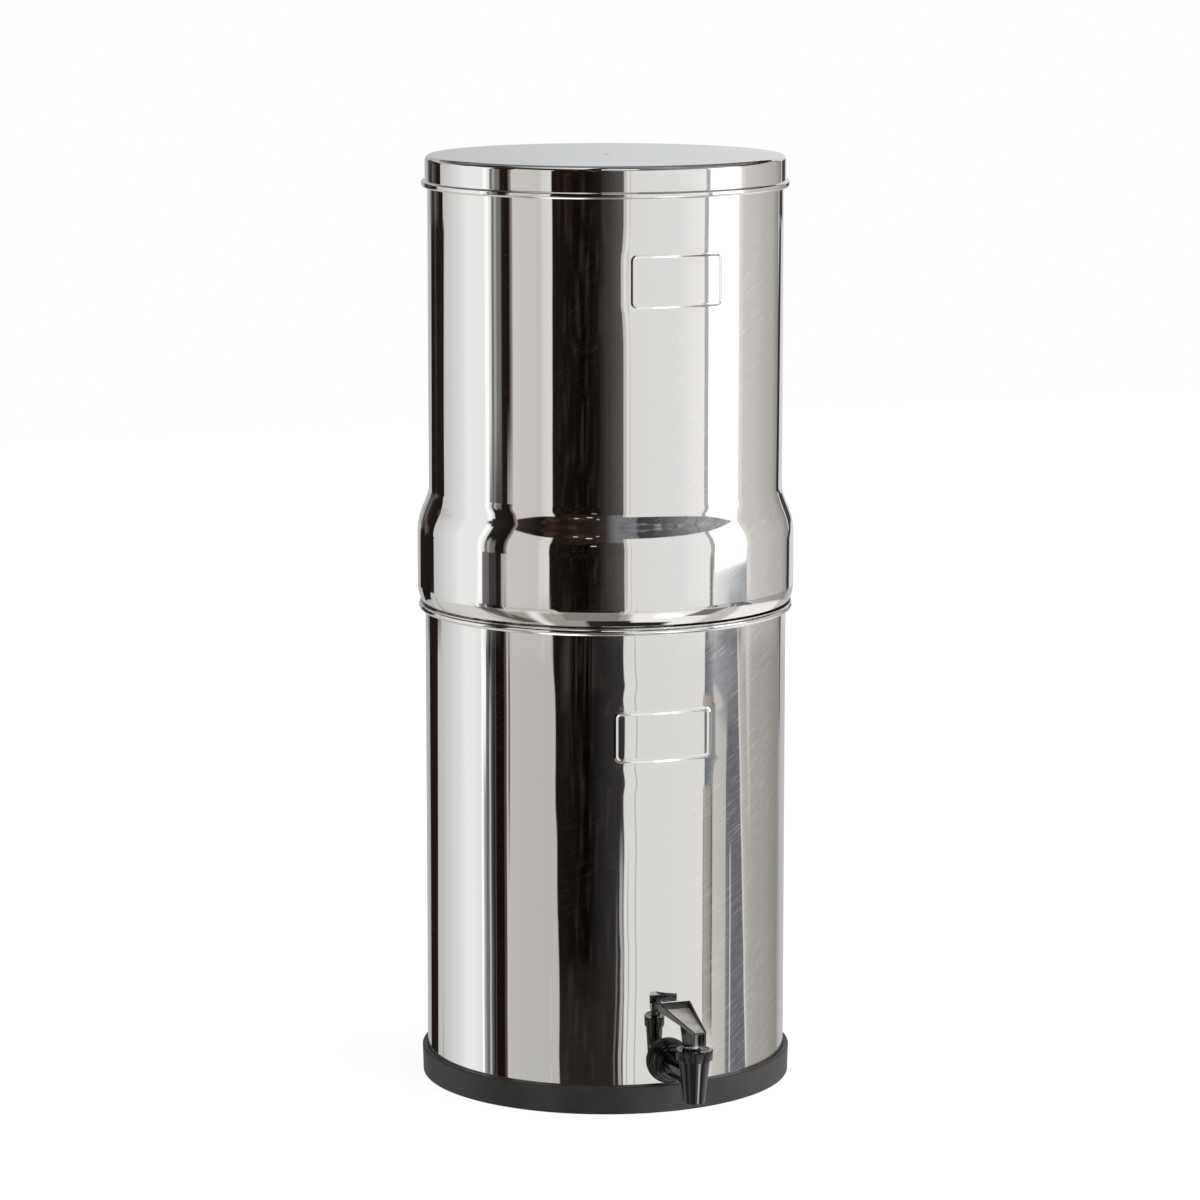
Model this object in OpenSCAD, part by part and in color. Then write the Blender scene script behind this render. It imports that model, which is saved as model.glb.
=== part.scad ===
// Gravity water filter with tap.
// Origin: centre of the base ring's underside. +Z is up and the tap points along -Y.
// All sizes are in millimetres.

/* [Lower chamber] */
// Outer radius of the lower chamber
lower_r = 140; // [125:1:160]
// Height of the lower chamber, from its underside to the middle of its rim bead
lower_h = 367.7; // [300:0.1:450]
// Thickness of the steel sheet of both chambers and the lid
sheet_t = 0.8; // [0.6:0.1:1.2]
// Outer radius of the corner round the lower chamber's foot
lower_corner_r = 8; // [5:0.5:12]
// How far the rolled rim stands out from the lower chamber's wall
rim_out = 5; // [4.2:0.1:6]
// Radius of the rolled rim's bead
rim_bead_r = 2.8; // [2.2:0.1:3]
// Radius of the thin lip above the bead
rim_lip_r = 0.6; // [0.4:0.1:0.9]
// Height of the lip's middle above the bead's middle
rim_lip_rise = 3.2; // [3:0.1:3.6]
// How far the lip's middle lies inside the rim's outermost edge
rim_lip_in = 1.4; // [1:0.1:1.8]

/* [Upper chamber] */
// Height of the upper chamber, from its underside to its top edge
upper_h = 360; // [300:1:450]
// How far the bell stands out from the lower chamber's wall
bell_out = 5.9; // [5.6:0.1:7]
// Radius of the rounded corner under the bell
bell_corner_r = 30; // [26:1:36]
// Height of the bell's straight wall
bell_h = 41.4; // [30:0.1:60]
// How far the straight wall above the bell steps in
neck_in = 9.1; // [7:0.1:12]
// Slope of the shoulder between bell and straight wall, from the vertical
shoulder_angle = 24; // [20:1:35]
// Radius of the shoulder's round over the bell
shoulder_r = 48; // [30:1:50]
// Radius of the hollow where the shoulder meets the straight wall
neck_r = 22; // [12:1:26]
// Radius of the hem rolled inwards at the top edge
hem_r = 1.3; // [1:0.1:2]

/* [Lid] */
// Height of the lid's skirt, from its top to the middle of its bead
lid_skirt_h = 21.6; // [16:0.1:35]
// Outer radius of the lid's top edge
lid_edge_r = 3; // [2:0.5:5]
// How far the lid's bead stands out from its skirt
lid_bead_out = 2.9; // [2.4:0.1:3.4]
// Half of the straight height in the lid's bead
lid_bead_flat = 0.7; // [0.3:0.1:1.5]
// Radius of the hole in the lid's centre
lid_hole_r = 2.75; // [2:0.25:4]
// Gap round the upper chamber inside the lid's skirt
lid_gap = 1.1; // [0.6:0.1:2]

/* [Base ring] */
// Height of the base ring
base_h = 21.4; // [15:0.1:30]
// Wall thickness of the base ring at its top
base_t = 3.9; // [3:0.1:6]
// Thickness of the ledge that the lower chamber stands on
ledge_t = 4; // [3:0.5:6]
// Width of that ledge
ledge_w = 14; // [8:1:30]
// How much the base ring's outside draws in towards its foot
base_draft = 0.6; // [0:0.1:1.5]
// Size of the bevels on the base ring's outer edges
base_bevel = 0.8; // [0.4:0.1:1.2]
// Gap between the base ring and the lower chamber
base_gap = 0.3; // [0.1:0.1:0.6]

/* [Filters] */
// Number of filter elements
filter_count = 4; // [2:1:4]
// Radius of the circle that the filters stand on
filter_ring_r = 75; // [66:1:78]
// Radius of a filter element
element_r = 35; // [28:1:36]
// Height of a filter element
element_h = 229; // [150:1:260]
// Radius of the round over an element's top edge
element_edge_r = 6; // [3:1:8]
// Radius of the hollow inside an element
element_bore_r = 9; // [6:1:12]
// How far the base stands out from its element
base_cap_out = 1; // [0.5:0.5:2]
// Height of the filter's plastic base
base_cap_h = 12; // [8:1:18]
// Radius of the filter's threaded stem
filter_stem_r = 6; // [5:0.5:7]
// Length of the stem below the chamber floor
filter_stem_h = 24; // [20:1:32]
// Radius of the bore down the stem
filter_bore_r = 2.5; // [1.5:0.5:3]
// Gap round a stem in the floor
stem_hole_gap = 0.4; // [0.2:0.1:0.6]
// Thickness of a filter washer
filter_washer_t = 2; // [1.5:0.5:3]
// Outer radius of a filter washer
filter_washer_r = 11; // [9:0.5:14]
// Radius of a wing nut's hub
wing_hub_r = 9; // [8:0.5:11]
// Height of a wing nut's hub
wing_hub_h = 8; // [6:1:12]
// Reach of a wing nut's wings
wing_r = 19; // [15:1:24]
// Height of a wing nut's wings
wing_h = 15; // [11:1:18]
// Thickness of a wing nut's wings
wing_t = 3.2; // [2.5:0.1:4]
// Radius of a floor plug's head
plug_head_r = 10; // [9:0.5:13]
// Height of a floor plug's head
plug_head_h = 3; // [2:0.5:5]
// Length of a floor plug below the floor
plug_foot_h = 7; // [5:0.5:10]

/* [Tap body] */
// Height of the tap's shank above the base ring's underside
tap_z = 39.7; // [38:0.1:60]
// Radius of the threaded shank
shank_r = 8; // [7:0.5:9]
// Length of the shank inside the tank
shank_in = 17; // [15:0.5:25]
// Gap round the shank in the tank wall
shank_gap = 0.5; // [0.2:0.1:1]
// Radius of the water way through the shank
water_r = 5; // [4:0.25:5.5]
// Radius of the flange that seats on the outer washer
flange_r = 16.5; // [15.5:0.5:19]
// Thickness of the flange
flange_t = 3; // [2:0.5:4]
// Radius of the flange's middle step
step_r = 15; // [13.5:0.5:15]
// Thickness of the flange's middle step
step_t = 3; // [2:0.5:4]
// Radius of the flange's front step
hub_r = 12.5; // [11:0.5:13]
// Thickness of the flange's front step
hub_t = 2; // [1:0.5:3]
// Radius of the barrel at the flange
barrel_r = 9.5; // [8.5:0.1:10]
// Radius of the barrel at the spout
barrel_tip_r = 8.6; // [8:0.1:9]
// Distance of the spout's axis from the tank wall
spout_reach = 55; // [50:1:70]
// Drop of the spout's mouth below the shank
spout_drop = 19.1; // [16:0.1:24]
// Radius of the spout's mouth
spout_tip_r = 8.1; // [7.8:0.1:9]
// Height of the spout's shoulder, under the bonnet, above the shank
spout_rise = 14.3; // [13:0.1:18]
// Radius of the spout's shoulder
spout_top_r = 12; // [11.7:0.1:13]
// Radius of the outlet's bore
outlet_r = 6.3; // [5.5:0.1:6.6]
// Depth of the outlet's bore
outlet_h = 10.4; // [8:0.1:11]
// Radius of the throat that the seat cup closes
throat_r = 5; // [4:0.25:5.5]
// Drop of the valve seat below the shank
seat_drop = 5.7; // [5:0.1:6.5]
// Radius of the valve bowl above the seat
bowl_r = 8; // [7.6:0.1:8.2]
// How far the spout's threaded neck stands in from its shoulder
neck_step = 0.4; // [0.3:0.1:0.6]

/* [Tap bonnet and valve] */
// Height of the bonnet
bonnet_h = 7.7; // [7:0.1:10]
// Radius of the bonnet at its top
bonnet_r = 14.3; // [14.1:0.1:15.5]
// How much the bonnet's skirt draws in towards its foot
bonnet_draft = 0.45; // [0:0.05:0.8]
// Thickness of the bonnet's top
bonnet_top_t = 2; // [1.5:0.1:2.5]
// Gap round the neck inside the bonnet
bonnet_gap = 0.1; // [0.05:0.05:0.2]
// Bevel round the bonnet's top
bonnet_bevel = 0.6; // [0.3:0.1:0.8]
// Number of grip notches round the bonnet
grip_count = 8; // [6:1:12]
// Radius of a grip notch
grip_r = 1.3; // [1:0.1:1.5]
// Depth of a grip notch
grip_depth = 0.9; // [0.5:0.1:1]
// Radius of the boss round the stem
boss_r = 4.7; // [4.5:0.1:5.5]
// Height of the boss round the stem
boss_h = 1; // [0.5:0.1:1.2]
// Radius of the tap's stem
stem_r = 3.1; // [2.8:0.1:3.2]
// Height of the stem's top above the lever pin
stem_over = 3.6; // [3:0.1:4]
// Running gap round the stem and the lever pin
running_gap = 0.05; // [0.02:0.01:0.08]
// Radius of the stem's foot
foot_r = 4.6; // [4.2:0.1:5]
// Thickness of the stem's foot
foot_t = 2; // [1.5:0.1:2.5]
// Radius of the seat cup
cup_r = 6.8; // [6.4:0.1:7.2]
// Height of the seat cup
cup_h = 7; // [6:0.1:9]
// Thickness of the seat cup under the stem's foot
cup_floor = 2; // [1.5:0.1:2.5]
// Radius of the spring's coil, to the middle of its wire
spring_r = 4.6; // [4.4:0.1:5]
// Radius of the spring's wire
spring_wire_r = 0.45; // [0.3:0.05:0.6]
// Number of turns in the spring
spring_turns = 7; // [5:1:9]

/* [Tap lever] */
// Height of the lever pin above the bonnet
pin_rise = 8.3; // [7.6:0.1:9]
// Radius of the lever pin
pin_r = 1.5; // [1.2:0.1:1.8]
// How far the pin enters each cheek
pin_bite = 1; // [0.8:0.1:1.2]
// Distance behind the stem's axis at which the heel bears on the bonnet
heel_back = 7.5; // [6:0.1:8]
// Turn of the lever when it is pressed right down
press_angle = 24; // [15:1:26]
// Gap between the heel and the bonnet
heel_gap = 0.1; // [0.05:0.05:0.2]
// Length of the lever ahead of the stem's axis
lever_front = 11.5; // [10:0.1:13]
// Length of the lever behind the stem's axis
lever_back = 43; // [35:0.5:46]
// Height of the lever's front edge above the pin
lever_top = 7.2; // [6.6:0.1:8]
// Rise of the lever's top towards its back
lever_tilt = 11.2; // [8:0.1:14]
// Width of the lever at its front
fork_w = 10.4; // [9.8:0.1:12]
// Width of the lever at its back
paddle_w = 26; // [20:0.5:30]
// Gap between the fork's cheeks
fork_gap = 6.8; // [6.6:0.1:7]
// Thickness of the paddle at its back
paddle_t = 6; // [5:0.1:8]
// Thickness of the paddle at its front
paddle_front_t = 1.5; // [1.4:0.1:2]
// Thickness of the floor of the paddle's recess
paddle_floor = 1.3; // [1:0.1:1.3]
// Width of the rim round the recess
paddle_rim = 1.4; // [1:0.1:2]
// Drop of the cheeks' front corner below the pin
cheek_front_drop = 3.3; // [2:0.1:4]
// Distance behind the axis at which the cheeks meet the paddle
cheek_back = 17.5; // [15:0.1:20]

/* [Tap fixings] */
// Thickness of the rubber washers at the shank
washer_t = 3; // [2:0.5:4]
// Outer radius of the rubber washers at the shank
washer_r = 17.3; // [16.5:0.1:20]
// Gap round the shank inside the washers
washer_gap = 0.2; // [0.1:0.1:0.5]
// Width of the shank nut across its flats
nut_af = 24; // [22:0.5:28]
// Thickness of the shank nut
nut_t = 7; // [5:0.5:10]
// Gap between the shank and the nut's thread
nut_gap = 0.05; // [0.02:0.01:0.2]

/* [Hidden] */
$fn = 96;
tank_fn = 720; // the washers' saddles need the tank's curve finely drawn

steel = [0.78, 0.78, 0.78];
black_rubber = [0.16, 0.16, 0.17];
black_plastic = [0.05, 0.05, 0.055];
pale_plastic = [0.85, 0.86, 0.86];
carbon = [0.09, 0.09, 0.09];

cut = 1;          // how far a cutting shape runs past the face it cuts
seat_gap = 0.3;   // gap between the bell's corner and the lower chamber's lip
lid_seat_gap = 0.2; // gap between the lid's underside and the upper chamber's top edge
valve_gap = 0.05; // gap under the seat cup and at the spring's ends

// Heights of the lower chamber
lower_foot_z = ledge_t;
rim_z = lower_foot_z + lower_h;
rim_bead_mid = lower_r + rim_out - rim_bead_r;
rim_lip_mid = lower_r + rim_out - rim_lip_in;
rim_lip_z = rim_z + rim_lip_rise;

// The bell's corner seats on the lip: their two arcs stay seat_gap apart.
bell_r = lower_r + bell_out;
bell_mid = bell_r - bell_corner_r;
seat_reach = bell_corner_r + seat_gap + rim_lip_r;
bell_z = rim_lip_z + sqrt(pow(seat_reach, 2) - pow(rim_lip_mid - bell_mid, 2));
upper_foot_z = bell_z - bell_corner_r;
upper_floor_z = upper_foot_z + sheet_t;
upper_top_z = upper_foot_z + upper_h;

// The shoulder: a round over the bell, a straight slope and a hollow under the wall
upper_r = bell_r - neck_in;
shoulder_z = bell_z + bell_h;
shoulder_mid = bell_r - shoulder_r;
neck_mid = upper_r + neck_r;
slope_foot_r = shoulder_mid + shoulder_r * cos(shoulder_angle);
slope_foot_z = shoulder_z + shoulder_r * sin(shoulder_angle);
slope_top_r = neck_mid - neck_r * cos(shoulder_angle);
slope_top_z = slope_foot_z + (slope_foot_r - slope_top_r) / tan(shoulder_angle);
neck_z = slope_top_z + neck_r * sin(shoulder_angle);

// Lid
lid_r = upper_r + lid_gap + sheet_t;
lid_z = upper_top_z + lid_seat_gap + sheet_t;
lid_bead_r = (lid_bead_out + sheet_t) / 2;
lid_bead_mid = lid_r + lid_bead_out - lid_bead_r;
lid_bead_z = lid_z - lid_skirt_h;

// Base ring
base_in_r = lower_r + base_gap;
base_out_r = base_in_r + base_t;
base_foot_r = base_out_r - base_draft;

// Filters
filter_pitch = 360 / filter_count;
hole_r = filter_stem_r + stem_hole_gap;
washer_top_z = upper_floor_z + filter_washer_t;
cap_top_z = washer_top_z + base_cap_h;
cap_r = element_r + base_cap_out;

// Tap
tank_in_r = lower_r - sheet_t;
spout_y = -(lower_r + spout_reach);
spout_tip_z = tap_z - spout_drop;
seat_z = tap_z - seat_drop;
shoulder_top_z = tap_z + spout_rise;
bonnet_top_z = shoulder_top_z + bonnet_h;
bonnet_under_z = bonnet_top_z - bonnet_top_t;
neck_out_r = spout_top_r - neck_step;
cup_z = seat_z + valve_gap;
foot_z = cup_z + cup_floor;
cup_top_z = cup_z + cup_h;
pin_z = bonnet_top_z + pin_rise;
flange_front = washer_t + flange_t + step_t + hub_t;

// Foot of the lever's heel at a turn of t degrees. The curve lets the lever roll on the
// bonnet always at heel_back, so that each degree lifts the stem by the same amount.
function heel(t) =
    let (h = pin_rise - heel_gap + heel_back * t * PI / 180)
    [heel_back * cos(t) + h * sin(t), heel_back * sin(t) - h * cos(t)];
heel_steps = 8;

module on_tap_axis(r) translate([0, -r, tap_z]) rotate([90, 0, 0]) children();

module at_spout(z) translate([0, spout_y, z]) children();

// A profile drawn as (Y, Z) round the lever pin, made w wide along X
module across(w) at_spout(pin_z) rotate([90, 0, 90]) linear_extrude(w, center = true) children();

// ---- Base ring ----

module base_ring() color(black_rubber) rotate_extrude() polygon([
    [base_in_r - ledge_w, 0],
    [base_foot_r - base_bevel, 0],
    [base_foot_r, base_bevel],
    [base_out_r, base_h - base_bevel],
    [base_out_r - base_bevel, base_h],
    [base_in_r, base_h],
    [base_in_r, ledge_t],
    [base_in_r - ledge_w, ledge_t]
]);

// ---- Lower chamber ----

// Half section of the lower chamber, drawn in by t from its outer face
module lower_section(t) {
    r = lower_r - t;
    corner = lower_r - lower_corner_r;
    translate([0, lower_foot_z + t]) square([corner, lower_h]);
    translate([0, lower_foot_z + lower_corner_r]) square([r, lower_h - lower_corner_r]);
    translate([corner, lower_foot_z + lower_corner_r]) circle(lower_corner_r - t);
}

// The corner of the bell, and everything within g of it
module bell_seat(g) translate([bell_mid, bell_z]) circle(bell_corner_r + g);

// Rolled rim: a bead, and a seat that follows the bell's corner
module rim_section() {
    translate([rim_bead_mid, rim_z]) circle(rim_bead_r);
    intersection() {
        bell_seat(seat_gap + sheet_t);
        translate([tank_in_r, rim_z - rim_bead_r])
            square([rim_lip_mid - tank_in_r, rim_bead_r + rim_lip_rise]);
    }
}

module lower_chamber() color(steel) difference() {
    rotate_extrude() {
        difference() {
            union() {
                difference() {
                    lower_section(0);
                    lower_section(sheet_t);
                    translate([0, rim_z - cut]) square([tank_in_r, 2 * cut]);
                }
                rim_section();
            }
            bell_seat(seat_gap);
        }
        translate([rim_lip_mid, rim_lip_z]) circle(rim_lip_r);
    }
    on_tap_axis(tank_in_r - washer_t) cylinder(h = sheet_t + 2 * washer_t, r = shank_r + shank_gap);
}

// ---- Upper chamber ----

// Half section of the upper chamber, drawn in by t from its outer face
module upper_section(t) {
    lean = [cos(shoulder_angle), sin(shoulder_angle)];
    foot = [shoulder_mid, shoulder_z] + (shoulder_r - t) * lean;
    top = [neck_mid, neck_z] - (neck_r + t) * lean;
    translate([0, upper_foot_z + t]) square([bell_mid, bell_corner_r]);
    translate([bell_mid, bell_z]) circle(bell_corner_r - t);
    translate([0, bell_z]) square([bell_r - t, bell_h]);
    translate([shoulder_mid, shoulder_z]) circle(shoulder_r - t);
    polygon([[0, shoulder_z], [shoulder_mid, shoulder_z], foot, top, [0, top[1]]]);
    difference() {
        translate([0, top[1]]) square([top[0], neck_z - top[1]]);
        translate([neck_mid, neck_z]) circle(neck_r + t);
    }
    translate([0, top[1]]) square([upper_r - t, upper_top_z - hem_r - top[1]]);
}

module upper_chamber() color(steel) difference() {
    rotate_extrude() {
        difference() {
            upper_section(0);
            upper_section(sheet_t);
            translate([0, upper_top_z - hem_r - cut]) square([upper_r - sheet_t, 2 * cut]);
        }
        translate([upper_r - hem_r, upper_top_z - hem_r]) circle(hem_r);
    }
    for (i = [0:2 * filter_count - 1]) rotate(i * filter_pitch / 2)
        translate([filter_ring_r, 0, upper_foot_z - cut]) cylinder(h = sheet_t + 2 * cut, r = hole_r);
}

// ---- Lid ----

// Half section of the lid, drawn in by t from its outer face
module lid_section(t) {
    foot = lid_bead_z - lid_bead_flat - lid_bead_r;
    edge = lid_r - lid_edge_r;
    translate([0, foot]) square([edge, lid_z - t - foot]);
    translate([0, foot]) square([lid_r - t, lid_z - lid_edge_r - foot]);
    translate([edge, lid_z - lid_edge_r]) circle(lid_edge_r - t);
}

module lid() color(steel) difference() {
    rotate_extrude() {
        difference() {
            union() {
                lid_section(0);
                for (side = [-1, 1]) translate([lid_bead_mid, lid_bead_z + side * lid_bead_flat])
                    circle(lid_bead_r);
                translate([lid_bead_mid - lid_bead_r, lid_bead_z - lid_bead_flat])
                    square([2 * lid_bead_r, 2 * lid_bead_flat]);
            }
            lid_section(sheet_t);
            translate([0, lid_bead_z - lid_skirt_h]) square([lid_r - sheet_t, lid_skirt_h]);
        }
    }
    translate([0, 0, lid_z - sheet_t - cut]) cylinder(h = sheet_t + 2 * cut, r = lid_hole_r);
}

// ---- Filters ----

module at_filter(i) rotate((i - 1) * filter_pitch) translate([filter_ring_r, 0, 0]) children();

module at_plug(i) rotate((i - 0.5) * filter_pitch) translate([filter_ring_r, 0, 0]) children();

module filter_washer(i) color(black_rubber) at_filter(i) translate([0, 0, upper_floor_z])
    difference() {
        cylinder(h = filter_washer_t, r = filter_washer_r);
        translate([0, 0, -cut]) cylinder(h = filter_washer_t + 2 * cut, r = hole_r);
    }

module filter_base(i) color(pale_plastic) at_filter(i) difference() {
    union() {
        translate([0, 0, washer_top_z])
            cylinder(h = base_cap_h / 3, r1 = cap_r - base_cap_h / 3, r2 = cap_r);
        translate([0, 0, washer_top_z + base_cap_h / 3]) cylinder(h = base_cap_h * 2 / 3, r = cap_r);
        translate([0, 0, upper_foot_z - filter_stem_h])
            cylinder(h = washer_top_z - upper_foot_z + filter_stem_h, r = filter_stem_r);
    }
    translate([0, 0, upper_foot_z - filter_stem_h - cut])
        cylinder(h = cap_top_z - upper_foot_z + filter_stem_h + 2 * cut, r = filter_bore_r);
}

module filter_element(i) color(carbon) at_filter(i) translate([0, 0, cap_top_z])
    rotate_extrude() difference() {
        union() {
            square([element_r, element_h - element_edge_r]);
            square([element_r - element_edge_r, element_h]);
            translate([element_r - element_edge_r, element_h - element_edge_r]) circle(element_edge_r);
        }
        translate([0, -cut]) square([element_bore_r, element_h - element_r + element_bore_r]);
    }

module wing_nut(i) color(black_plastic) at_filter(i) translate([0, 0, upper_foot_z]) difference() {
    union() {
        translate([0, 0, -wing_hub_h]) cylinder(h = wing_hub_h, r = wing_hub_r);
        rotate([90, 0, 0]) linear_extrude(wing_t, center = true) polygon([
            [-wing_hub_r, 0], [wing_hub_r, 0],
            [wing_r, -wing_hub_h / 2], [wing_r, -wing_h],
            [wing_r - wing_t, -wing_h], [wing_hub_r, -wing_hub_h],
            [-wing_hub_r, -wing_hub_h], [-wing_r + wing_t, -wing_h],
            [-wing_r, -wing_h], [-wing_r, -wing_hub_h / 2]
        ]);
    }
    translate([0, 0, -wing_h - cut]) cylinder(h = wing_h + 2 * cut, r = filter_stem_r + running_gap);
}

module floor_plug(i) color(black_rubber) at_plug(i) translate([0, 0, upper_foot_z])
    rotate_extrude() polygon([
        [0, -plug_foot_h],
        [hole_r - stem_hole_gap, -plug_foot_h],
        [hole_r + sheet_t, -plug_foot_h / 2],
        [hole_r + sheet_t, 0],
        [hole_r - running_gap, 0],
        [hole_r - running_gap, sheet_t],
        [plug_head_r, sheet_t],
        [plug_head_r, sheet_t + plug_head_h / 2],
        [plug_head_r - plug_head_h / 2, sheet_t + plug_head_h],
        [0, sheet_t + plug_head_h]
    ]);

// ---- Tap ----

module tap_outer_washer() color(black_rubber) difference() {
    on_tap_axis(tank_in_r) cylinder(h = sheet_t + washer_t, r = washer_r);
    cylinder(h = tap_z + 2 * washer_r, r = lower_r, $fn = tank_fn);
    on_tap_axis(tank_in_r - cut) cylinder(h = washer_t + 3 * cut, r = shank_r + washer_gap);
}

module tap_inner_washer() color(black_rubber) difference() {
    intersection() {
        on_tap_axis(tank_in_r - washer_t) cylinder(h = 2 * washer_t, r = washer_r);
        cylinder(h = tap_z + 2 * washer_r, r = tank_in_r, $fn = tank_fn);
    }
    on_tap_axis(tank_in_r - 2 * washer_t) cylinder(h = 4 * washer_t, r = shank_r + washer_gap);
}

module tap_shank_nut() color(black_plastic) on_tap_axis(tank_in_r - washer_t - nut_t) difference() {
    cylinder(h = nut_t, r = nut_af / sqrt(3), $fn = 6);
    translate([0, 0, -cut]) cylinder(h = nut_t + 2 * cut, r = shank_r + nut_gap);
}

module tap_body() color(black_plastic) difference() {
    union() {
        on_tap_axis(tank_in_r - shank_in) cylinder(h = shank_in + sheet_t + washer_t, r = shank_r);
        on_tap_axis(lower_r + washer_t) cylinder(h = flange_t, r = flange_r);
        on_tap_axis(lower_r + washer_t + flange_t) cylinder(h = step_t, r = step_r);
        on_tap_axis(lower_r + flange_front - hub_t) cylinder(h = hub_t, r = hub_r);
        on_tap_axis(lower_r + flange_front)
            cylinder(h = spout_reach - flange_front, r1 = barrel_r, r2 = barrel_tip_r);
        at_spout(spout_tip_z)
            cylinder(h = shoulder_top_z - spout_tip_z, r1 = spout_tip_r, r2 = spout_top_r);
        at_spout(shoulder_top_z) cylinder(h = bonnet_under_z - shoulder_top_z, r = neck_out_r);
    }
    on_tap_axis(tank_in_r - shank_in - cut)
        cylinder(h = shank_in + sheet_t + spout_reach + cut, r = water_r);
    at_spout(seat_z) cylinder(h = bonnet_under_z - seat_z + cut, r = bowl_r);
    at_spout(spout_tip_z - cut) cylinder(h = seat_z - spout_tip_z + 2 * cut, r = throat_r);
    at_spout(spout_tip_z - cut) cylinder(h = outlet_h + cut, r = outlet_r);
}

module tap_bonnet() color(black_plastic) at_spout(shoulder_top_z) difference() {
    union() {
        rotate_extrude() polygon([
            [0, 0],
            [bonnet_r - bonnet_draft, 0],
            [bonnet_r, bonnet_h - bonnet_bevel],
            [bonnet_r - bonnet_bevel, bonnet_h],
            [0, bonnet_h]
        ]);
        cylinder(h = bonnet_h + boss_h, r = boss_r);
    }
    translate([0, 0, -cut])
        cylinder(h = bonnet_h - bonnet_top_t + cut, r = neck_out_r + bonnet_gap);
    cylinder(h = bonnet_h + boss_h + cut, r = stem_r + running_gap);
    for (i = [0:grip_count - 1]) rotate((i + 0.5) * 360 / grip_count)
        translate([bonnet_r + grip_r - grip_depth, 0, -cut])
            cylinder(h = bonnet_h + 2 * cut, r = grip_r);
}

module tap_seat_cup() color(pale_plastic) at_spout(cup_z) rotate_extrude() polygon([
    [0, 0],
    [throat_r, 0],
    [cup_r, cup_floor / 2],
    [cup_r, cup_h],
    [stem_r + running_gap, cup_h],
    [stem_r + running_gap, cup_floor + foot_t + running_gap],
    [foot_r + running_gap, cup_floor + foot_t + running_gap],
    [foot_r + running_gap, cup_floor],
    [0, cup_floor]
]);

module tap_stem() color(pale_plastic) difference() {
    union() {
        at_spout(foot_z) cylinder(h = foot_t, r = foot_r);
        at_spout(foot_z) cylinder(h = pin_z + stem_over - foot_z, r = stem_r);
    }
    at_spout(pin_z) rotate([0, 90, 0]) cylinder(h = 3 * stem_r, r = pin_r + running_gap, center = true);
}

// Spring wire: rings of the wire's section, each turned square to the coil
module tap_spring() {
    sides = 8;
    steps = 16;
    foot = cup_top_z + valve_gap + spring_wire_r;
    rise = bonnet_under_z - valve_gap - spring_wire_r - foot;
    rings = spring_turns * steps;
    points = [
        for (i = [0:rings], j = [0:sides - 1])
            let (a = 360 * i / steps, b = 360 * j / sides, r = spring_r + spring_wire_r * cos(b))
            [r * cos(a), r * sin(a), rise * i / rings + spring_wire_r * sin(b)]
    ];
    faces = concat(
        [[for (j = [0:sides - 1]) j]],
        [for (i = [0:rings - 1], j = [0:sides - 1])
            let (p = i * sides + j, q = i * sides + (j + 1) % sides)
            [p, p + sides, q + sides, q]],
        [[for (j = [sides - 1:-1:0]) rings * sides + j]]
    );
    color(steel) at_spout(foot) polyhedron(points, faces, convexity = 8);
}

module tap_lever_pin() color(steel) at_spout(pin_z) rotate([0, 90, 0])
    cylinder(h = fork_gap + 2 * pin_bite, r = pin_r, center = true);

// Plan of the paddle, narrow over the fork and wide at its back, w in from its edges
module paddle_plan(w) polygon([
    [-fork_w / 2 + w, -lever_front - (w > 0 ? cut : 0)],
    [fork_w / 2 - w, -lever_front - (w > 0 ? cut : 0)],
    [paddle_w / 2 - w, lever_back - w],
    [-paddle_w / 2 + w, lever_back - w]
]);

module tap_lever() {
    rise = (lever_front + lever_back) * tan(lever_tilt);
    front = [-lever_front, lever_top];
    back = [lever_back, lever_top + rise];
    under_front = front - [0, paddle_front_t];
    under_back = back - [0, paddle_t];
    floor_up = [0, paddle_floor];
    over = [0, 2 * paddle_t];
    color(black_plastic) difference() {
        union() {
            intersection() {
                across(paddle_w) polygon([front, back, under_back, under_front]);
                at_spout(pin_z) linear_extrude(2 * rise + paddle_t) paddle_plan(0);
            }
            across(fork_w) polygon(concat(
                [under_front + floor_up / 2, [-lever_front, -cheek_front_drop]],
                [for (i = [0:heel_steps]) heel(press_angle * i / heel_steps)],
                [[cheek_back, lerp_z(under_front, under_back, cheek_back) + paddle_floor / 2]]
            ));
        }
        across(fork_gap) polygon([
            under_front - [cut, 0],
            [cheek_back + cut, lerp_z(under_front, under_back, cheek_back)],
            [cheek_back + cut, -2 * pin_rise],
            [-lever_front - cut, -2 * pin_rise]
        ]);
        intersection() {
            across(paddle_w) polygon([
                under_front + floor_up - [cut, 0], under_back + floor_up,
                under_back + floor_up + over, under_front + floor_up + over - [cut, 0]
            ]);
            at_spout(pin_z) linear_extrude(2 * rise + paddle_t) paddle_plan(paddle_rim);
        }
        at_spout(pin_z) rotate([0, 90, 0])
            cylinder(h = fork_gap + 2 * (pin_bite + running_gap), r = pin_r + running_gap, center = true);
    }
}

// Height, at distance y, of the line from point p to point q
function lerp_z(p, q, y) = p[1] + (q[1] - p[1]) * (y - p[0]) / (q[0] - p[0]);

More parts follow.
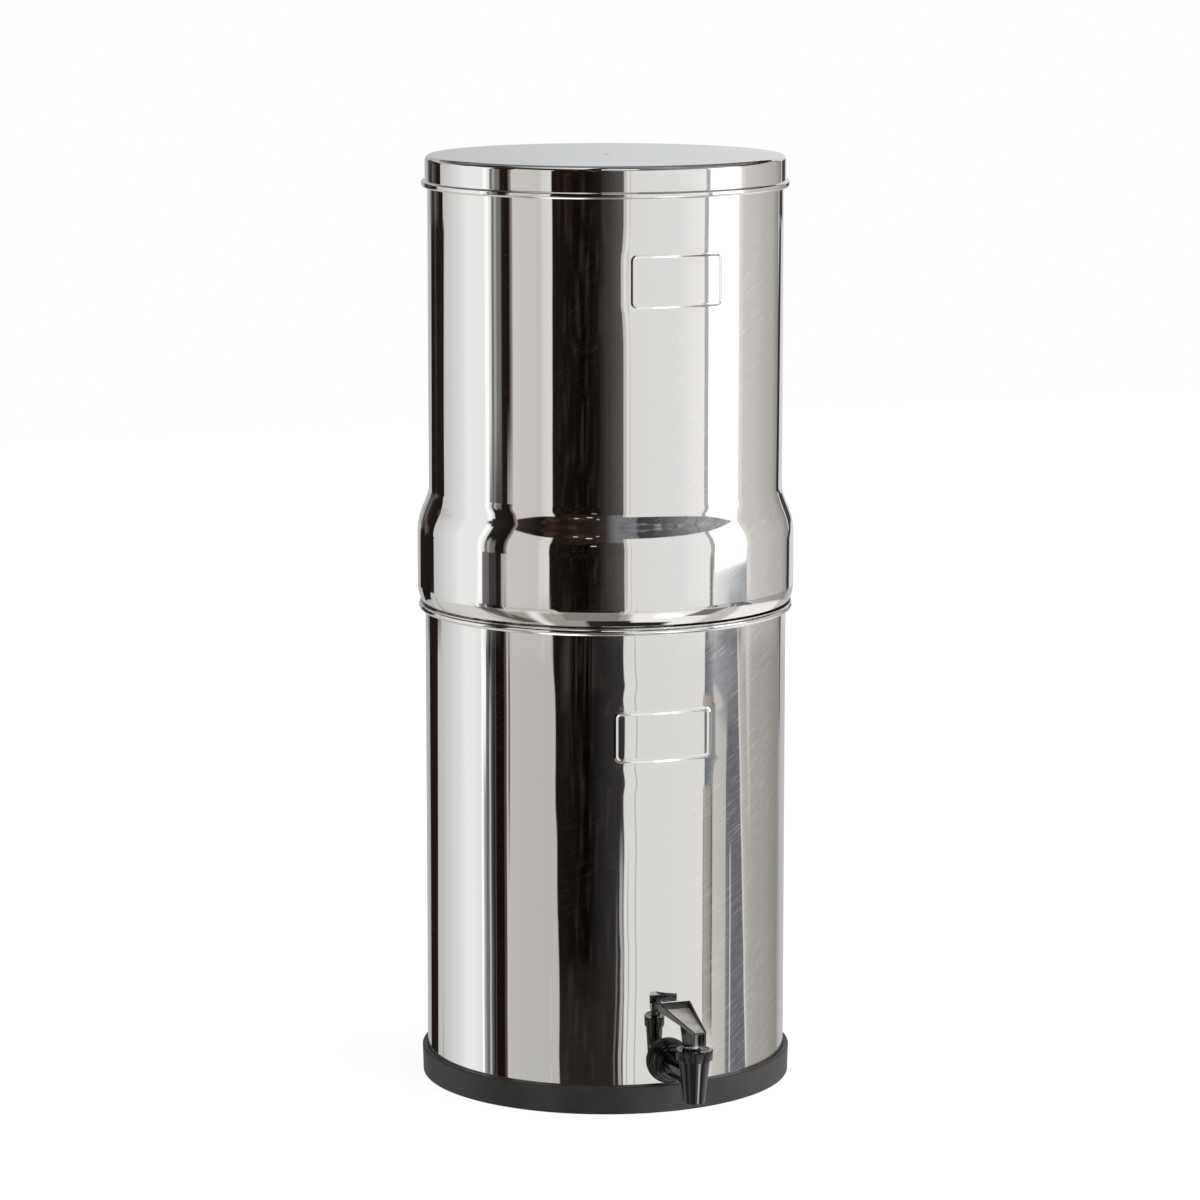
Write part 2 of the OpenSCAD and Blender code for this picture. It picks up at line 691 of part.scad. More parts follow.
base_ring();
lower_chamber();
tap_outer_washer();
tap_inner_washer();
tap_shank_nut();
tap_body();
tap_bonnet();
tap_spring();
tap_seat_cup();
tap_stem();
tap_lever_pin();
tap_lever();
upper_chamber();
filter_washer(1);  // filter_washer_1
filter_washer(2);  // filter_washer_2
filter_washer(3);  // filter_washer_3
filter_washer(4);  // filter_washer_4
filter_base(1);  // filter_base_1
filter_base(2);  // filter_base_2
filter_base(3);  // filter_base_3
filter_base(4);  // filter_base_4
filter_element(1);  // filter_element_1
filter_element(2);  // filter_element_2
filter_element(3);  // filter_element_3
filter_element(4);  // filter_element_4
wing_nut(1);  // wing_nut_1
wing_nut(2);  // wing_nut_2
wing_nut(3);  // wing_nut_3
wing_nut(4);  // wing_nut_4
floor_plug(1);  // floor_plug_1
floor_plug(2);  // floor_plug_2
floor_plug(3);  // floor_plug_3
floor_plug(4);  // floor_plug_4
lid();
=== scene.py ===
import math

import bmesh
import bpy
from mathutils import Matrix, Vector, noise


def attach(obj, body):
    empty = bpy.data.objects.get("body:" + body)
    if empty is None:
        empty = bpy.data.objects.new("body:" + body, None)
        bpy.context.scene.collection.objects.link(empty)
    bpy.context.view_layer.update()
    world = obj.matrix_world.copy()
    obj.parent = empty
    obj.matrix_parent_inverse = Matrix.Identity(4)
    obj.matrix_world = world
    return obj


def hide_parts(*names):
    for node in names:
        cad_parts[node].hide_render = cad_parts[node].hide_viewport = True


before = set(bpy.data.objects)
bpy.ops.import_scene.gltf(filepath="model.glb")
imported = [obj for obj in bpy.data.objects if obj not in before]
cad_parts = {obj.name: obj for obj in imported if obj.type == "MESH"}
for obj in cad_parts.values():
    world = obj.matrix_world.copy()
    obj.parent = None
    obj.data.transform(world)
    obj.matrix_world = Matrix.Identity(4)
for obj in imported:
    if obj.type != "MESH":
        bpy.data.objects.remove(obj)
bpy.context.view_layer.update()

mm = 0.001
for spare in ("Cube", "Light", "Camera"):
    if spare in bpy.data.objects:
        bpy.data.objects.remove(bpy.data.objects[spare])
print("frame loaded:", len(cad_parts), "nodes")


# a profile is a list of (radius, height) in millimetres
def arc(r, z, radius, start, end, step=7.5):
    count = max(2, math.ceil(abs(end - start) / step))
    turns = [math.radians(start + (end - start) * i / count) for i in range(count + 1)]
    return [(r + radius * math.cos(t), z + radius * math.sin(t)) for t in turns]


def straight(start, end, run=12.0, guard=0.4):
    # rows along a straight wall, with a close one at each end so that its shading stays straight
    (r0, z0), (r1, z1) = start, end
    length = math.hypot(r1 - r0, z1 - z0)
    if length < 4 * guard:
        return [start, end]
    count = max(1, math.ceil((length - 2 * guard) / run))
    stops = [0, *(guard + (length - 2 * guard) * i / count for i in range(count + 1)), length]
    return [(r0 + (r1 - r0) * s / length, z0 + (z1 - z0) * s / length) for s in stops]


def rounded(corners, closed=True, step=15.0):
    # corners are (r, z) or (r, z, radius of its round)
    line, count = [], len(corners)
    for i, corner in enumerate(corners):
        here = Vector(corner[:2])
        if len(corner) < 3 or (not closed and i in (0, count - 1)):
            line.append(tuple(here))
            continue
        before = (Vector(corners[i - 1][:2]) - here).normalized()
        after = (Vector(corners[(i + 1) % count][:2]) - here).normalized()
        half = before.angle(after) / 2
        radius = corner[2]
        middle = here + (before + after).normalized() * (radius / math.sin(half))
        first, last = (here + side * (radius / math.tan(half)) - middle for side in (before, after))
        start = math.degrees(math.atan2(first.y, first.x))
        sweep = math.degrees(math.atan2(last.y, last.x)) - start
        sweep = (sweep + 180) % 360 - 180
        line += arc(middle.x, middle.y, radius, start, start + sweep, step)
    return line


def stepped(line, run, guard):
    # rows along every side of a closed line
    full = []
    for here, after in zip(line, line[1:] + line[:1]):
        full += straight(here, after, run, guard)[:-1]
    return full


def meshFrom(bm, name):
    mesh = bpy.data.meshes.new(name)
    bm.to_mesh(mesh)
    bm.free()
    return mesh


def putInScene(name, data):
    made = bpy.data.objects.new(name, data)
    bpy.context.scene.collection.objects.link(made)
    return made


def lathe(line, sections=96, closed=True, start=0.0):
    # turns the line round the Z axis in a number of steps, or in (angle, steps) sections, each of equal wedges
    settings = {"wedgeSteps": 12, "leastGap": 2e-6, "same": 1.5e-6}
    if isinstance(sections, int):
        sections = ((360, sections),)
    whole, turn = bmesh.new(), start
    for span, steps in sections:
        wedges = max(1, round(steps / settings["wedgeSteps"]))
        wedge, ring = bmesh.new(), []
        for r, z in line:
            point = Vector((math.cos(math.radians(turn)) * r, math.sin(math.radians(turn)) * r, z)) * mm
            if not ring or (point - ring[-1].co).length > settings["leastGap"]:
                ring.append(wedge.verts.new(point))
        edges = [wedge.edges.new(pair) for pair in zip(ring, ring[1:])]
        if closed:
            edges.append(wedge.edges.new((ring[-1], ring[0])))
        bmesh.ops.spin(wedge, geom=ring + edges, cent=(0, 0, 0), axis=(0, 0, 1),
                       angle=math.radians(span / wedges), steps=math.ceil(steps / wedges))
        mesh = meshFrom(wedge, "wedge")
        for _ in range(wedges):
            whole.from_mesh(mesh)
            mesh.transform(Matrix.Rotation(math.radians(span / wedges), 4, "Z"))
        bpy.data.meshes.remove(mesh)
        turn += span
    bmesh.ops.remove_doubles(whole, verts=whole.verts[:], dist=settings["same"])
    bmesh.ops.recalc_face_normals(whole, faces=whole.faces[:])
    return whole


def moved(bm, matrix):
    bmesh.ops.transform(bm, matrix=matrix, verts=bm.verts[:])
    return bm


def joined(*parts):
    bm = bmesh.new()
    for part in parts:
        mesh = meshFrom(part, "part")
        bm.from_mesh(mesh)
        bpy.data.meshes.remove(mesh)
    return bm


def prism(outline, thickness):
    # outline is in (y, z) millimetres, and the prism is centred on x = 0
    bm = bmesh.new()
    face = bm.faces.new([bm.verts.new(Vector((-thickness / 2, y, z)) * mm) for y, z in outline])
    made = bmesh.ops.extrude_face_region(bm, geom=[face])["geom"]
    bmesh.ops.translate(bm, vec=Vector((thickness, 0, 0)) * mm,
                        verts=[v for v in made if isinstance(v, bmesh.types.BMVert)])
    bmesh.ops.recalc_face_normals(bm, faces=bm.faces[:])
    return bm


def softened(bm, width, segments=2, angle=25):
    sharp = [e for e in bm.edges if len(e.link_faces) == 2 and e.calc_face_angle() > math.radians(angle)]
    bmesh.ops.bevel(bm, geom=sharp, offset=width * mm, offset_type="OFFSET", segments=segments,
                    profile=0.5, affect="EDGES", material=-1, clamp_overlap=True)
    return bm


def addPiece(name, bm, body, material, replaces, sharpAngle=38):
    mesh = meshFrom(bm, name)
    mesh.shade_smooth()
    mesh.set_sharp_from_angle(angle=math.radians(sharpAngle))
    mesh.materials.append(material)
    piece = putInScene(name, mesh)
    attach(piece, body)
    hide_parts(*replaces)
    return piece


def cutAway(piece, cutter):
    # takes the cutter's closed shapes out of the piece
    mesh = meshFrom(cutter, "cutter")
    tool = putInScene("cutter", mesh)
    change = piece.modifiers.new("holes", "BOOLEAN")
    change.operation, change.solver, change.object = "DIFFERENCE", "EXACT", tool
    drawn = piece.evaluated_get(bpy.context.evaluated_depsgraph_get())
    result = bpy.data.meshes.new_from_object(drawn)
    piece.modifiers.clear()
    old, piece.data = piece.data, result
    result.name = piece.name
    for unused in (old, mesh):
        bpy.data.meshes.remove(unused)
    return piece


def rod(radius, low, high):
    return lathe([(0, low), (radius, low), (radius, high), (0, high)], 64, closed=False)


def tone(red, green=None, blue=None, level=1.0):
    # a tone as seen on screen, 0 to 255, as a linear colour
    values = [red, red if green is None else green, red if blue is None else blue]
    linear = [((v / 255 + 0.055) / 1.055) ** 2.4 if v > 10 else v / 255 / 12.92 for v in values]
    return tuple(v * level for v in linear) + (1.0,)


def feed(tree, socket, value):
    if isinstance(value, bpy.types.NodeSocket):
        tree.links.new(value, socket)
    else:
        socket.default_value = value


def node(tree, kind, inputs=(), **settings):
    made = tree.nodes.new(kind)
    for key, value in settings.items():
        setattr(made, key, value)
    for socket, value in dict(inputs).items():
        feed(tree, made.inputs[socket], value)
    return made


def maths(tree, operation, *values):
    return node(tree, "ShaderNodeMath", enumerate(values), operation=operation).outputs[0]


def along(tree, operation, first, second):
    return node(tree, "ShaderNodeVectorMath", {0: first, 1: second}, operation=operation).outputs


def blendColour(tree, factor, first, second):
    return node(tree, "ShaderNodeMix", {0: factor, 6: first, 7: second}, data_type="RGBA").outputs[2]


def spread(tree, value, low, high, toLow=0.0, toHigh=1.0, smooth=False):
    kind = "SMOOTHSTEP" if smooth else "LINEAR"
    return node(tree, "ShaderNodeMapRange", {0: value, 1: low, 2: high, 3: toLow, 4: toHigh},
                interpolation_type=kind, clamp=True).outputs[0]


def makeGroup(name, inputs, outputs):
    tree = bpy.data.node_groups.new(name, "ShaderNodeTree")
    kinds = {"value": "NodeSocketFloat", "colour": "NodeSocketColor", "vector": "NodeSocketVector"}
    for label, (kind, start) in inputs.items():
        socket = tree.interface.new_socket(label, in_out="INPUT", socket_type=kinds[kind])
        if start is not None:
            socket.default_value = start
    for label, kind in outputs.items():
        tree.interface.new_socket(label, in_out="OUTPUT", socket_type=kinds[kind])
    return tree, node(tree, "NodeGroupInput").outputs, node(tree, "NodeGroupOutput").inputs


def useGroup(tree, group, **values):
    inputs = {label.capitalize(): value for label, value in values.items()}
    return node(tree, "ShaderNodeGroup", inputs, node_tree=group).outputs


def drawNoise(tree, vector, scale, detail=2.0, roughness=0.5):
    return node(tree, "ShaderNodeTexNoise", {"Vector": vector, "Scale": scale, "Detail": detail,
                                             "Roughness": roughness}).outputs["Fac"]


def buildToneDrift():
    # slow drift between two tones, as in moulded rubber and plastic
    tree, inside, out = makeGroup("toneDrift", {
        "Place": ("vector", None), "First": ("colour", (0, 0, 0, 1)), "Second": ("colour", (1, 1, 1, 1)),
        "Scale": ("value", 20.0), "Fine": ("value", 0.3)}, {"Colour": "colour", "Mask": "value"})
    slow = drawNoise(tree, inside["Place"], inside["Scale"], 3.0)
    fast = drawNoise(tree, inside["Place"], maths(tree, "MULTIPLY", inside["Scale"], 22.0), 3.0, 0.7)
    both = maths(tree, "ADD", spread(tree, slow, 0.3, 0.7),
                 maths(tree, "MULTIPLY", maths(tree, "SUBTRACT", fast, 0.5), inside["Fine"]))
    mask = spread(tree, both, 0.0, 1.0)
    tree.links.new(blendColour(tree, mask, inside["First"], inside["Second"]), out["Colour"])
    tree.links.new(mask, out["Mask"])
    return tree


def buildGrain():
    # fine moulded grain, as a height for Bump
    tree, inside, out = makeGroup("mouldedGrain", {
        "Place": ("vector", None), "Scale": ("value", 900.0), "Pits": ("value", 0.5)}, {"Height": "value"})
    cells = node(tree, "ShaderNodeTexVoronoi", {"Vector": inside["Place"], "Scale": inside["Scale"]})
    soft = drawNoise(tree, inside["Place"], maths(tree, "MULTIPLY", inside["Scale"], 0.6), 3.0, 0.6)
    pits = maths(tree, "MULTIPLY", cells.outputs["Distance"], inside["Pits"])
    tree.links.new(maths(tree, "ADD", pits, soft), out["Height"])
    return tree


def buildDust():
    # scattered pale specks of lint
    tree, inside, out = makeGroup("lintSpecks", {
        "Place": ("vector", None), "Scale": ("value", 60.0), "Size": ("value", 0.05), "Share": ("value", 0.1)},
        {"Mask": "value"})
    cells = node(tree, "ShaderNodeTexVoronoi", {"Vector": inside["Place"], "Scale": inside["Scale"]})
    near = maths(tree, "LESS_THAN", cells.outputs["Distance"], inside["Size"])
    pick = node(tree, "ShaderNodeSeparateColor", {0: cells.outputs["Color"]}).outputs[0]
    tree.links.new(maths(tree, "MULTIPLY", near, maths(tree, "LESS_THAN", pick, inside["Share"])), out["Mask"])
    return tree


def buildHairlines():
    # fine slanting polishing lines, drawn on the wall unrolled round the Z axis
    wallRadius = 0.14
    tree, inside, out = makeGroup("polishLines", {
        "Place": ("vector", None), "Slant": ("value", 0.6), "Fineness": ("value", 1400.0),
        "Stretch": ("value", 40.0)}, {"Mask": "value"})
    x, y, z = node(tree, "ShaderNodeSeparateXYZ", {0: inside["Place"]}).outputs
    around = maths(tree, "MULTIPLY", maths(tree, "ARCTAN2", x, maths(tree, "MULTIPLY", y, -1.0)), wallRadius)
    cosine, sine = maths(tree, "COSINE", inside["Slant"]), maths(tree, "SINE", inside["Slant"])
    length = maths(tree, "ADD", maths(tree, "MULTIPLY", around, cosine), maths(tree, "MULTIPLY", z, sine))
    across = maths(tree, "SUBTRACT", maths(tree, "MULTIPLY", z, cosine), maths(tree, "MULTIPLY", around, sine))
    flat = node(tree, "ShaderNodeCombineXYZ", {0: maths(tree, "MULTIPLY", length, inside["Stretch"]),
                                               1: maths(tree, "MULTIPLY", across, inside["Fineness"])}).outputs[0]
    lines = drawNoise(tree, flat, 1.0, 2.0, 0.6)
    tree.links.new(spread(tree, lines, 0.52, 0.68), out["Mask"])
    return tree


toneDrift, mouldedGrain = buildToneDrift(), buildGrain()
lintSpecks, polishLines = buildDust(), buildHairlines()


def newMaterial(name, **plain):
    words = {"ior": "IOR", "transmission": "Transmission Weight", "specular": "Specular IOR Level",
             "metallic": "Metallic"}
    material = bpy.data.materials.new(name)
    material.use_nodes = True
    tree = material.node_tree
    shader = tree.nodes["Principled BSDF"]
    for label, value in plain.items():
        shader.inputs[words[label]].default_value = value
    return material, tree, shader, node(tree, "ShaderNodeTexCoord").outputs["Object"]


def bareMaterial(name):
    # a material without its first shader
    material, tree, shader, place = newMaterial(name)
    for spare in (shader, place.node):
        tree.nodes.remove(spare)
    return material, tree


def addBump(tree, shader, height, distance):
    made = node(tree, "ShaderNodeBump", {"Strength": 1.0, "Distance": distance, "Height": height})
    tree.links.new(made.outputs[0], shader.inputs["Normal"])


def makeSteel():
    # the dark seam tone and the seam limits below paint shade into the rim's seam, not dirt
    settings = {"steel": (0.955, 0.95, 0.942, 1), "seamShadeTone": (26, 23, 21), "roughness": 0.022,
                "smudgeRoughness": 0.02, "waves": 0.00013, "haze": 0.1, "faint": 0.12, "wiped": (3.0, -6.5, 0.0),
                "wipedFrom": 0.87, "wipedTo": 0.97, "seamLow": 0.3748, "seamHigh": 0.37545, "seamLean": 0.0017,
                "seamSide": 0.14, "seamInner": 0.1419, "seamOuter": 0.14435}
    material, tree, shader, place = newMaterial("polishedSteel")
    slow = node(tree, "ShaderNodeMapping", {0: place, 3: (9, 9, 16)}).outputs[0]
    addBump(tree, shader, drawNoise(tree, slow, 1.0, 1.0, 0.4), settings["waves"])
    lines = useGroup(tree, polishLines, place=place, slant=0.5, fineness=900.0, stretch=42.0)["Mask"]
    # scuffs, most of them on the side that is wiped down
    toSide = along(tree, "DOT_PRODUCT", place, settings["wiped"])["Value"]
    wiped = spread(tree, toSide, settings["wipedFrom"], settings["wipedTo"])
    patches = maths(tree, "ADD", wiped, settings["faint"])
    patches = maths(tree, "MULTIPLY", patches, spread(tree, drawNoise(tree, place, 9.0, 2.0, 0.5), 0.3, 0.55))
    scuffs = maths(tree, "MULTIPLY", lines, patches)
    tree.links.new(maths(tree, "SUBTRACT", 1.0, maths(tree, "MULTIPLY", scuffs, settings["haze"])),
                   shader.inputs["Metallic"])
    smudge = spread(tree, drawNoise(tree, place, 26.0, 4.0, 0.65), 0.45, 0.75)
    rough = maths(tree, "MULTIPLY", maths(tree, "ADD", smudge, scuffs), settings["smudgeRoughness"])
    tree.links.new(maths(tree, "ADD", rough, settings["roughness"]), shader.inputs["Roughness"])
    # painted shade: a dark band of colour in the seam where the upper chamber sits in the rim, standing in for the
    # shadow in that gap, its top rising towards +x
    x, _, z = node(tree, "ShaderNodeSeparateXYZ", {0: place}).outputs
    lean = maths(tree, "MULTIPLY", spread(tree, x, 0.0, settings["seamSide"]), settings["seamLean"])
    radius = along(tree, "LENGTH", along(tree, "MULTIPLY", place, (1.0, 1.0, 0.0))[0], (0, 0, 0))["Value"]
    seamShade = 1.0
    for operation, value, limit in (
            ("LESS_THAN", z, maths(tree, "ADD", lean, settings["seamHigh"])),
            ("GREATER_THAN", z, settings["seamLow"]), ("LESS_THAN", radius, settings["seamOuter"]),
            ("GREATER_THAN", radius, settings["seamInner"])):
        seamShade = maths(tree, "MULTIPLY", seamShade, maths(tree, operation, value, limit))
    tree.links.new(blendColour(tree, seamShade, settings["steel"], tone(*settings["seamShadeTone"])),
                   shader.inputs["Base Color"])
    return material


def makeSatin():
    # the insides, left as they were spun
    settings = {"metallic": 0.5, "roughness": 0.3, "lines": 0.12, "depth": 0.000012}
    material, tree, shader, place = newMaterial("satinSteel", metallic=settings["metallic"])
    lines = useGroup(tree, polishLines, place=place, slant=0.0, fineness=1500.0, stretch=9.0)["Mask"]
    tint = useGroup(tree, toneDrift, place=place, first=(0.74, 0.735, 0.725, 1), second=(0.84, 0.835, 0.825, 1),
                    scale=14.0, fine=0.2)
    tree.links.new(tint["Colour"], shader.inputs["Base Color"])
    tree.links.new(maths(tree, "ADD", maths(tree, "MULTIPLY", lines, settings["lines"]), settings["roughness"]),
                   shader.inputs["Roughness"])
    addBump(tree, shader, lines, settings["depth"])
    return material


def makeMoulded(name, first, second, roughness, grain, depth, lint=None, vary=0.1, drift=30.0, fine=0.35,
                **plain):
    # rubber or plastic in two drifting tones, with a moulded grain
    material, tree, shader, place = newMaterial(name, **plain)
    tint = useGroup(tree, toneDrift, place=place, first=tone(*first), second=tone(*second), scale=drift, fine=fine)
    colour = tint["Colour"]
    if lint:
        specks = useGroup(tree, lintSpecks, place=place, **lint)["Mask"]
        colour = blendColour(tree, specks, colour, tone(205, 205, 200))
    tree.links.new(colour, shader.inputs["Base Color"])
    tree.links.new(spread(tree, tint["Mask"], 0.0, 1.0, roughness - vary / 2, roughness + vary / 2),
                   shader.inputs["Roughness"])
    addBump(tree, shader, useGroup(tree, mouldedGrain, place=place, scale=grain, pits=0.5)["Height"], depth)
    return material


steel, satinSteel = makeSteel(), makeSatin()
ringRubber = makeMoulded("ringRubber", (40, 40, 41), (55, 54, 52), roughness=0.42, grain=900.0, depth=0.00006,
                         lint={"scale": 55.0, "size": 0.035, "share": 0.12}, specular=0.45)
washerRubber = makeMoulded("washerRubber", (22, 22, 23), (34, 33, 33), roughness=0.5, grain=1800.0, depth=0.00003)
tapPlastic = makeMoulded("tapPlastic", (6, 6, 7), (11, 10, 10), roughness=0.07, grain=500.0, depth=0.000001,
                         vary=0.04, ior=1.6)
leverPlastic = makeMoulded("leverPlastic", (26, 25, 24), (38, 36, 35), roughness=0.2, grain=1600.0,
                           depth=0.000006, ior=1.65)
# the lever's side faces: a lighter grey copy of its black plastic, a painted sheen
leverSidesPaintedSheen = makeMoulded("leverSidesPaintedSheen", (96, 94, 91), (110, 107, 104), roughness=0.36, grain=1600.0,
                          depth=0.00001, ior=1.65)
# the recess floor: light grey on the lever's black plastic, a painted sheen of light on its grain
recessPaintedSheen = makeMoulded("recessPaintedSheen", (142, 139, 134), (190, 187, 181), roughness=0.45, grain=1100.0,
                            depth=0.0002, ior=1.6, drift=50.0, fine=2.2)
nutPlastic = makeMoulded("nutPlastic", (20, 20, 22), (34, 34, 36), roughness=0.38, grain=1500.0, depth=0.00001)
stemPlastic = makeMoulded("stemPlastic", (234, 236, 236), (242, 242, 240), roughness=0.22, grain=700.0,
                          depth=0.000004, transmission=0.1, ior=1.49)
seatSilicone = makeMoulded("seatSilicone", (214, 212, 206), (228, 227, 222), roughness=0.5, grain=1300.0,
                           depth=0.00001)
basePlastic = makeMoulded("basePlastic", (222, 222, 218), (236, 236, 233), roughness=0.35, grain=900.0,
                          depth=0.00001)
filterCarbon = makeMoulded("filterCarbon", (26, 26, 27), (52, 51, 50), roughness=0.85, grain=1100.0,
                           depth=0.00022, drift=90.0)
springSteel = makeMoulded("springSteel", (176, 176, 174), (204, 204, 202), roughness=0.25, grain=2500.0,
                          depth=0.000004, metallic=1.0)
print("materials made")


def plateRise(plate, around, height):
    # height of the pressed frame's ridge at a place on the wall, both in millimetres from its middle
    reach = plate["corner"]
    side, end = abs(around) - plate["width"] / 2 + reach, abs(height) - plate["height"] / 2 + reach
    beyond = Vector((max(side, 0), max(end, 0))).length + min(max(side, end), 0) - reach
    off = abs(beyond) / plate["halfRidge"]
    ridge = plate["rise"] * (1 + math.cos(math.pi * off)) / 2 if off < 1 else 0.0
    return ridge - plate["dish"] * math.exp(-(max(beyond, 0) / plate["reach"]) ** 2)


def pressFrame(bm, plate, outerRadius):
    # presses a plain frame into the outer wall only
    skin, nearRows, nearTurn = 0.3, plate["height"] * 1.4, 60
    for v in bm.verts:
        radius = math.hypot(v.co.x, v.co.y) / mm
        if abs(radius - outerRadius) > skin or abs(v.co.z / mm - plate["z"]) > nearRows:
            continue
        turn = math.degrees(math.atan2(v.co.x, -v.co.y)) - plate["azimuth"]
        if abs(turn) < nearTurn:
            rise = plateRise(plate, math.radians(turn) * outerRadius, v.co.z / mm - plate["z"])
            v.co.x *= 1 + rise / radius
            v.co.y *= 1 + rise / radius


def shellSections(plate, radius, fine=0.28, wide=1.5):
    # wide steps round the chamber, and fine ones over its pressed frame
    over = 2 * math.degrees((plate["width"] / 2 + plate["margin"]) / radius)
    rest = 360 - over
    return ((over, math.ceil(over / fine)), (rest, math.ceil(rest / wide))), plate["azimuth"] - over / 2 - 90


def wallWithPlate(radius, low, high, plate):
    # outer wall rows, fine over the pressed frame
    edge = plate["height"] / 2 + plate["margin"]
    below, above = (radius, plate["z"] - edge), (radius, plate["z"] + edge)
    return straight((radius, low), below) + straight(below, above, 0.55, 0.1) + straight(above, (radius, high))


def satinInside(piece, reach, low, high, way):
    # the inner faces: those that face the axis, and the flat that faces up or down between low and high
    leastInward, leastFlat = 0.15, 0.3
    piece.data.materials.append(satinSteel)
    for face in piece.data.polygons:
        centre, facing = face.center / mm, face.normal
        radius = max(math.hypot(centre.x, centre.y), 0.1)
        inward = -(facing.x * centre.x + facing.y * centre.y) / radius
        flat = facing.z * way > leastFlat and low < centre.z < high
        if radius < reach and (inward > leastInward or flat):
            face.material_index = 1


pressed = {"corner": 3.6, "halfRidge": 1.4, "rise": 0.34, "dish": 0.2, "reach": 9.0, "margin": 3}
lowerPlate = {"azimuth": -1.3, "z": 291.1, "width": 75.4, "height": 36.5, **pressed}
upperPlate = {"azimuth": 3.8, "z": 634.0, "width": 72.6, "height": 37.6, **pressed}


def makeLowerChamber():
    size = {"wall": 140.0, "sheet": 0.8, "foot": 4.0, "corner": 8.0, "beadR": 142.2, "beadZ": 371.7, "bead": 2.8,
            "beadTurn": (-141.8, 63), "lipR": 143.6, "lipZ": 374.9, "lip": 0.6, "lipTurn": (-97, 176),
            "bellR": 115.9, "bellZ": 388.594, "seat": 30.3, "seatTurn": (-27.0, -39.75), "seatFoot": 369.0,
            "tapHole": 8.5, "satinTop": 18.0, "crinkleR": 142.95, "crinkleZ": 374.05, "crinkle": (0.05, 0.04)}
    wall, foot, sheet, corner = size["wall"], size["foot"], size["sheet"], size["corner"]
    beadFoot = size["beadZ"] - math.sqrt(size["bead"] ** 2 - (size["beadR"] - wall) ** 2)
    line = straight((0, foot), (wall - corner, foot), 30.0)
    line += arc(wall - corner, foot + corner, corner, -90, 0)
    line += wallWithPlate(wall, foot + corner, beadFoot, lowerPlate)
    line += arc(size["beadR"], size["beadZ"], size["bead"], *size["beadTurn"], 5)
    line += arc(size["lipR"], size["lipZ"], size["lip"], *size["lipTurn"], 15)
    line += arc(size["bellR"], size["bellZ"], size["seat"], *size["seatTurn"], 1)
    line += straight((wall - sheet, size["seatFoot"]), (wall - sheet, foot + corner))
    line += arc(wall - corner, foot + corner, corner - sheet, 0, -90)
    line += straight((wall - corner, foot + sheet), (0, foot + sheet), 30.0)
    sections, start = shellSections(lowerPlate, wall)
    bm = lathe(line, sections, closed=False, start=start)
    pressFrame(bm, lowerPlate, wall)
    coarse, fine = size["crinkle"]
    for v in bm.verts:  # the rim's lip is a little crinkled by the spinning tool
        if v.co.z / mm > size["crinkleZ"] and math.hypot(v.co.x, v.co.y) / mm > size["crinkleR"]:
            turn = math.atan2(v.co.x, -v.co.y)
            shake = coarse * math.sin(47 * turn) * math.sin(11 * turn + 1) + fine * math.sin(83 * turn + 2)
            v.co.z += shake * mm * (1 if v.co.z / mm < size["lipZ"] else 0.3)
    piece = addPiece("lowerChamber", bm, "lower", steel, ["lower_chamber"], 30)
    hole = moved(rod(size["tapHole"], wall - 10, wall + 10), tapTurn)
    satinInside(cutAway(piece, hole), wall - sheet / 2, foot + sheet / 2, size["satinTop"], 1)


def makeUpperChamber():
    size = {"bell": 145.84, "wall": 136.8, "sheet": 0.8, "foot": 358.594, "corner": 30.0, "shoulder": 47.0,
            "neck": 22.0, "shoulderZ": 428.4, "ease": 18.0, "slope": 23.0, "top": 718.594, "hem": 1.3,
            "hemGap": 0.05, "hole": 6.4, "holes": 8, "satinR": 145.4}
    bell, wall, sheet, foot, top, hem = (size[k] for k in ("bell", "wall", "sheet", "foot", "top", "hem"))
    corner, ease, slope, hemZ = size["corner"], size["ease"], size["slope"], top - hem
    turned = [math.cos(math.radians(t)) for t in (0, ease, slope)]
    slow = (bell - wall - (size["shoulder"] + size["neck"]) * (1 - turned[1])) / 2 / (turned[1] - turned[2])
    # the shoulder's arcs: radius, slopes at its two ends, step, and 1 for over or -1 for hollow
    shoulder = ((size["shoulder"], 0, ease, 2, 1), (slow, ease, slope, 0.5, 1), (slow, slope, ease, 0.5, -1),
                (size["neck"], ease, 0, 3, -1))

    def side(inset):  # the bell, shoulder and neck, drawn in by inset
        line = arc(bell - corner, foot + corner, corner - inset, -90, 0, 5)
        line += straight((bell - inset, foot + corner), (bell - inset, size["shoulderZ"]))
        r, z = bell, size["shoulderZ"]
        for radius, first, last, step, way in shoulder:
            first, last = (t if way == 1 else 180 + t for t in (first, last))
            r, z = r - radius * math.cos(math.radians(first)), z - radius * math.sin(math.radians(first))
            line += arc(r, z, radius - way * inset, first, last, step)
            r, z = r + radius * math.cos(math.radians(last)), z + radius * math.sin(math.radians(last))
        return line, z

    (outer, neckZ), (inner, _) = side(0), side(sheet)
    line = straight((0, foot), (bell - corner, foot), 30.0) + outer
    line += wallWithPlate(wall, neckZ, hemZ, upperPlate)
    line += arc(wall - hem, hemZ, hem, 0, 292, 15)
    inside = straight((wall - sheet, hemZ - hem - size["hemGap"]), (wall - sheet, neckZ))
    line += inside + inner[::-1] + straight((bell - corner, foot + sheet), (0, foot + sheet), 30.0)
    sections, start = shellSections(upperPlate, wall)
    bm = lathe(line, sections, closed=False, start=start)
    pressFrame(bm, upperPlate, wall)
    piece = addPiece("upperChamber", bm, "upper", steel, ["upper_chamber"], 30)
    turns = [i * 360 / size["holes"] for i in range(size["holes"])]
    holes = [moved(rod(size["hole"], foot - 2, foot + 3), roundTheRing(turn)) for turn in turns]
    satinInside(cutAway(piece, joined(*holes)), size["satinR"], foot, foot + corner, 1)


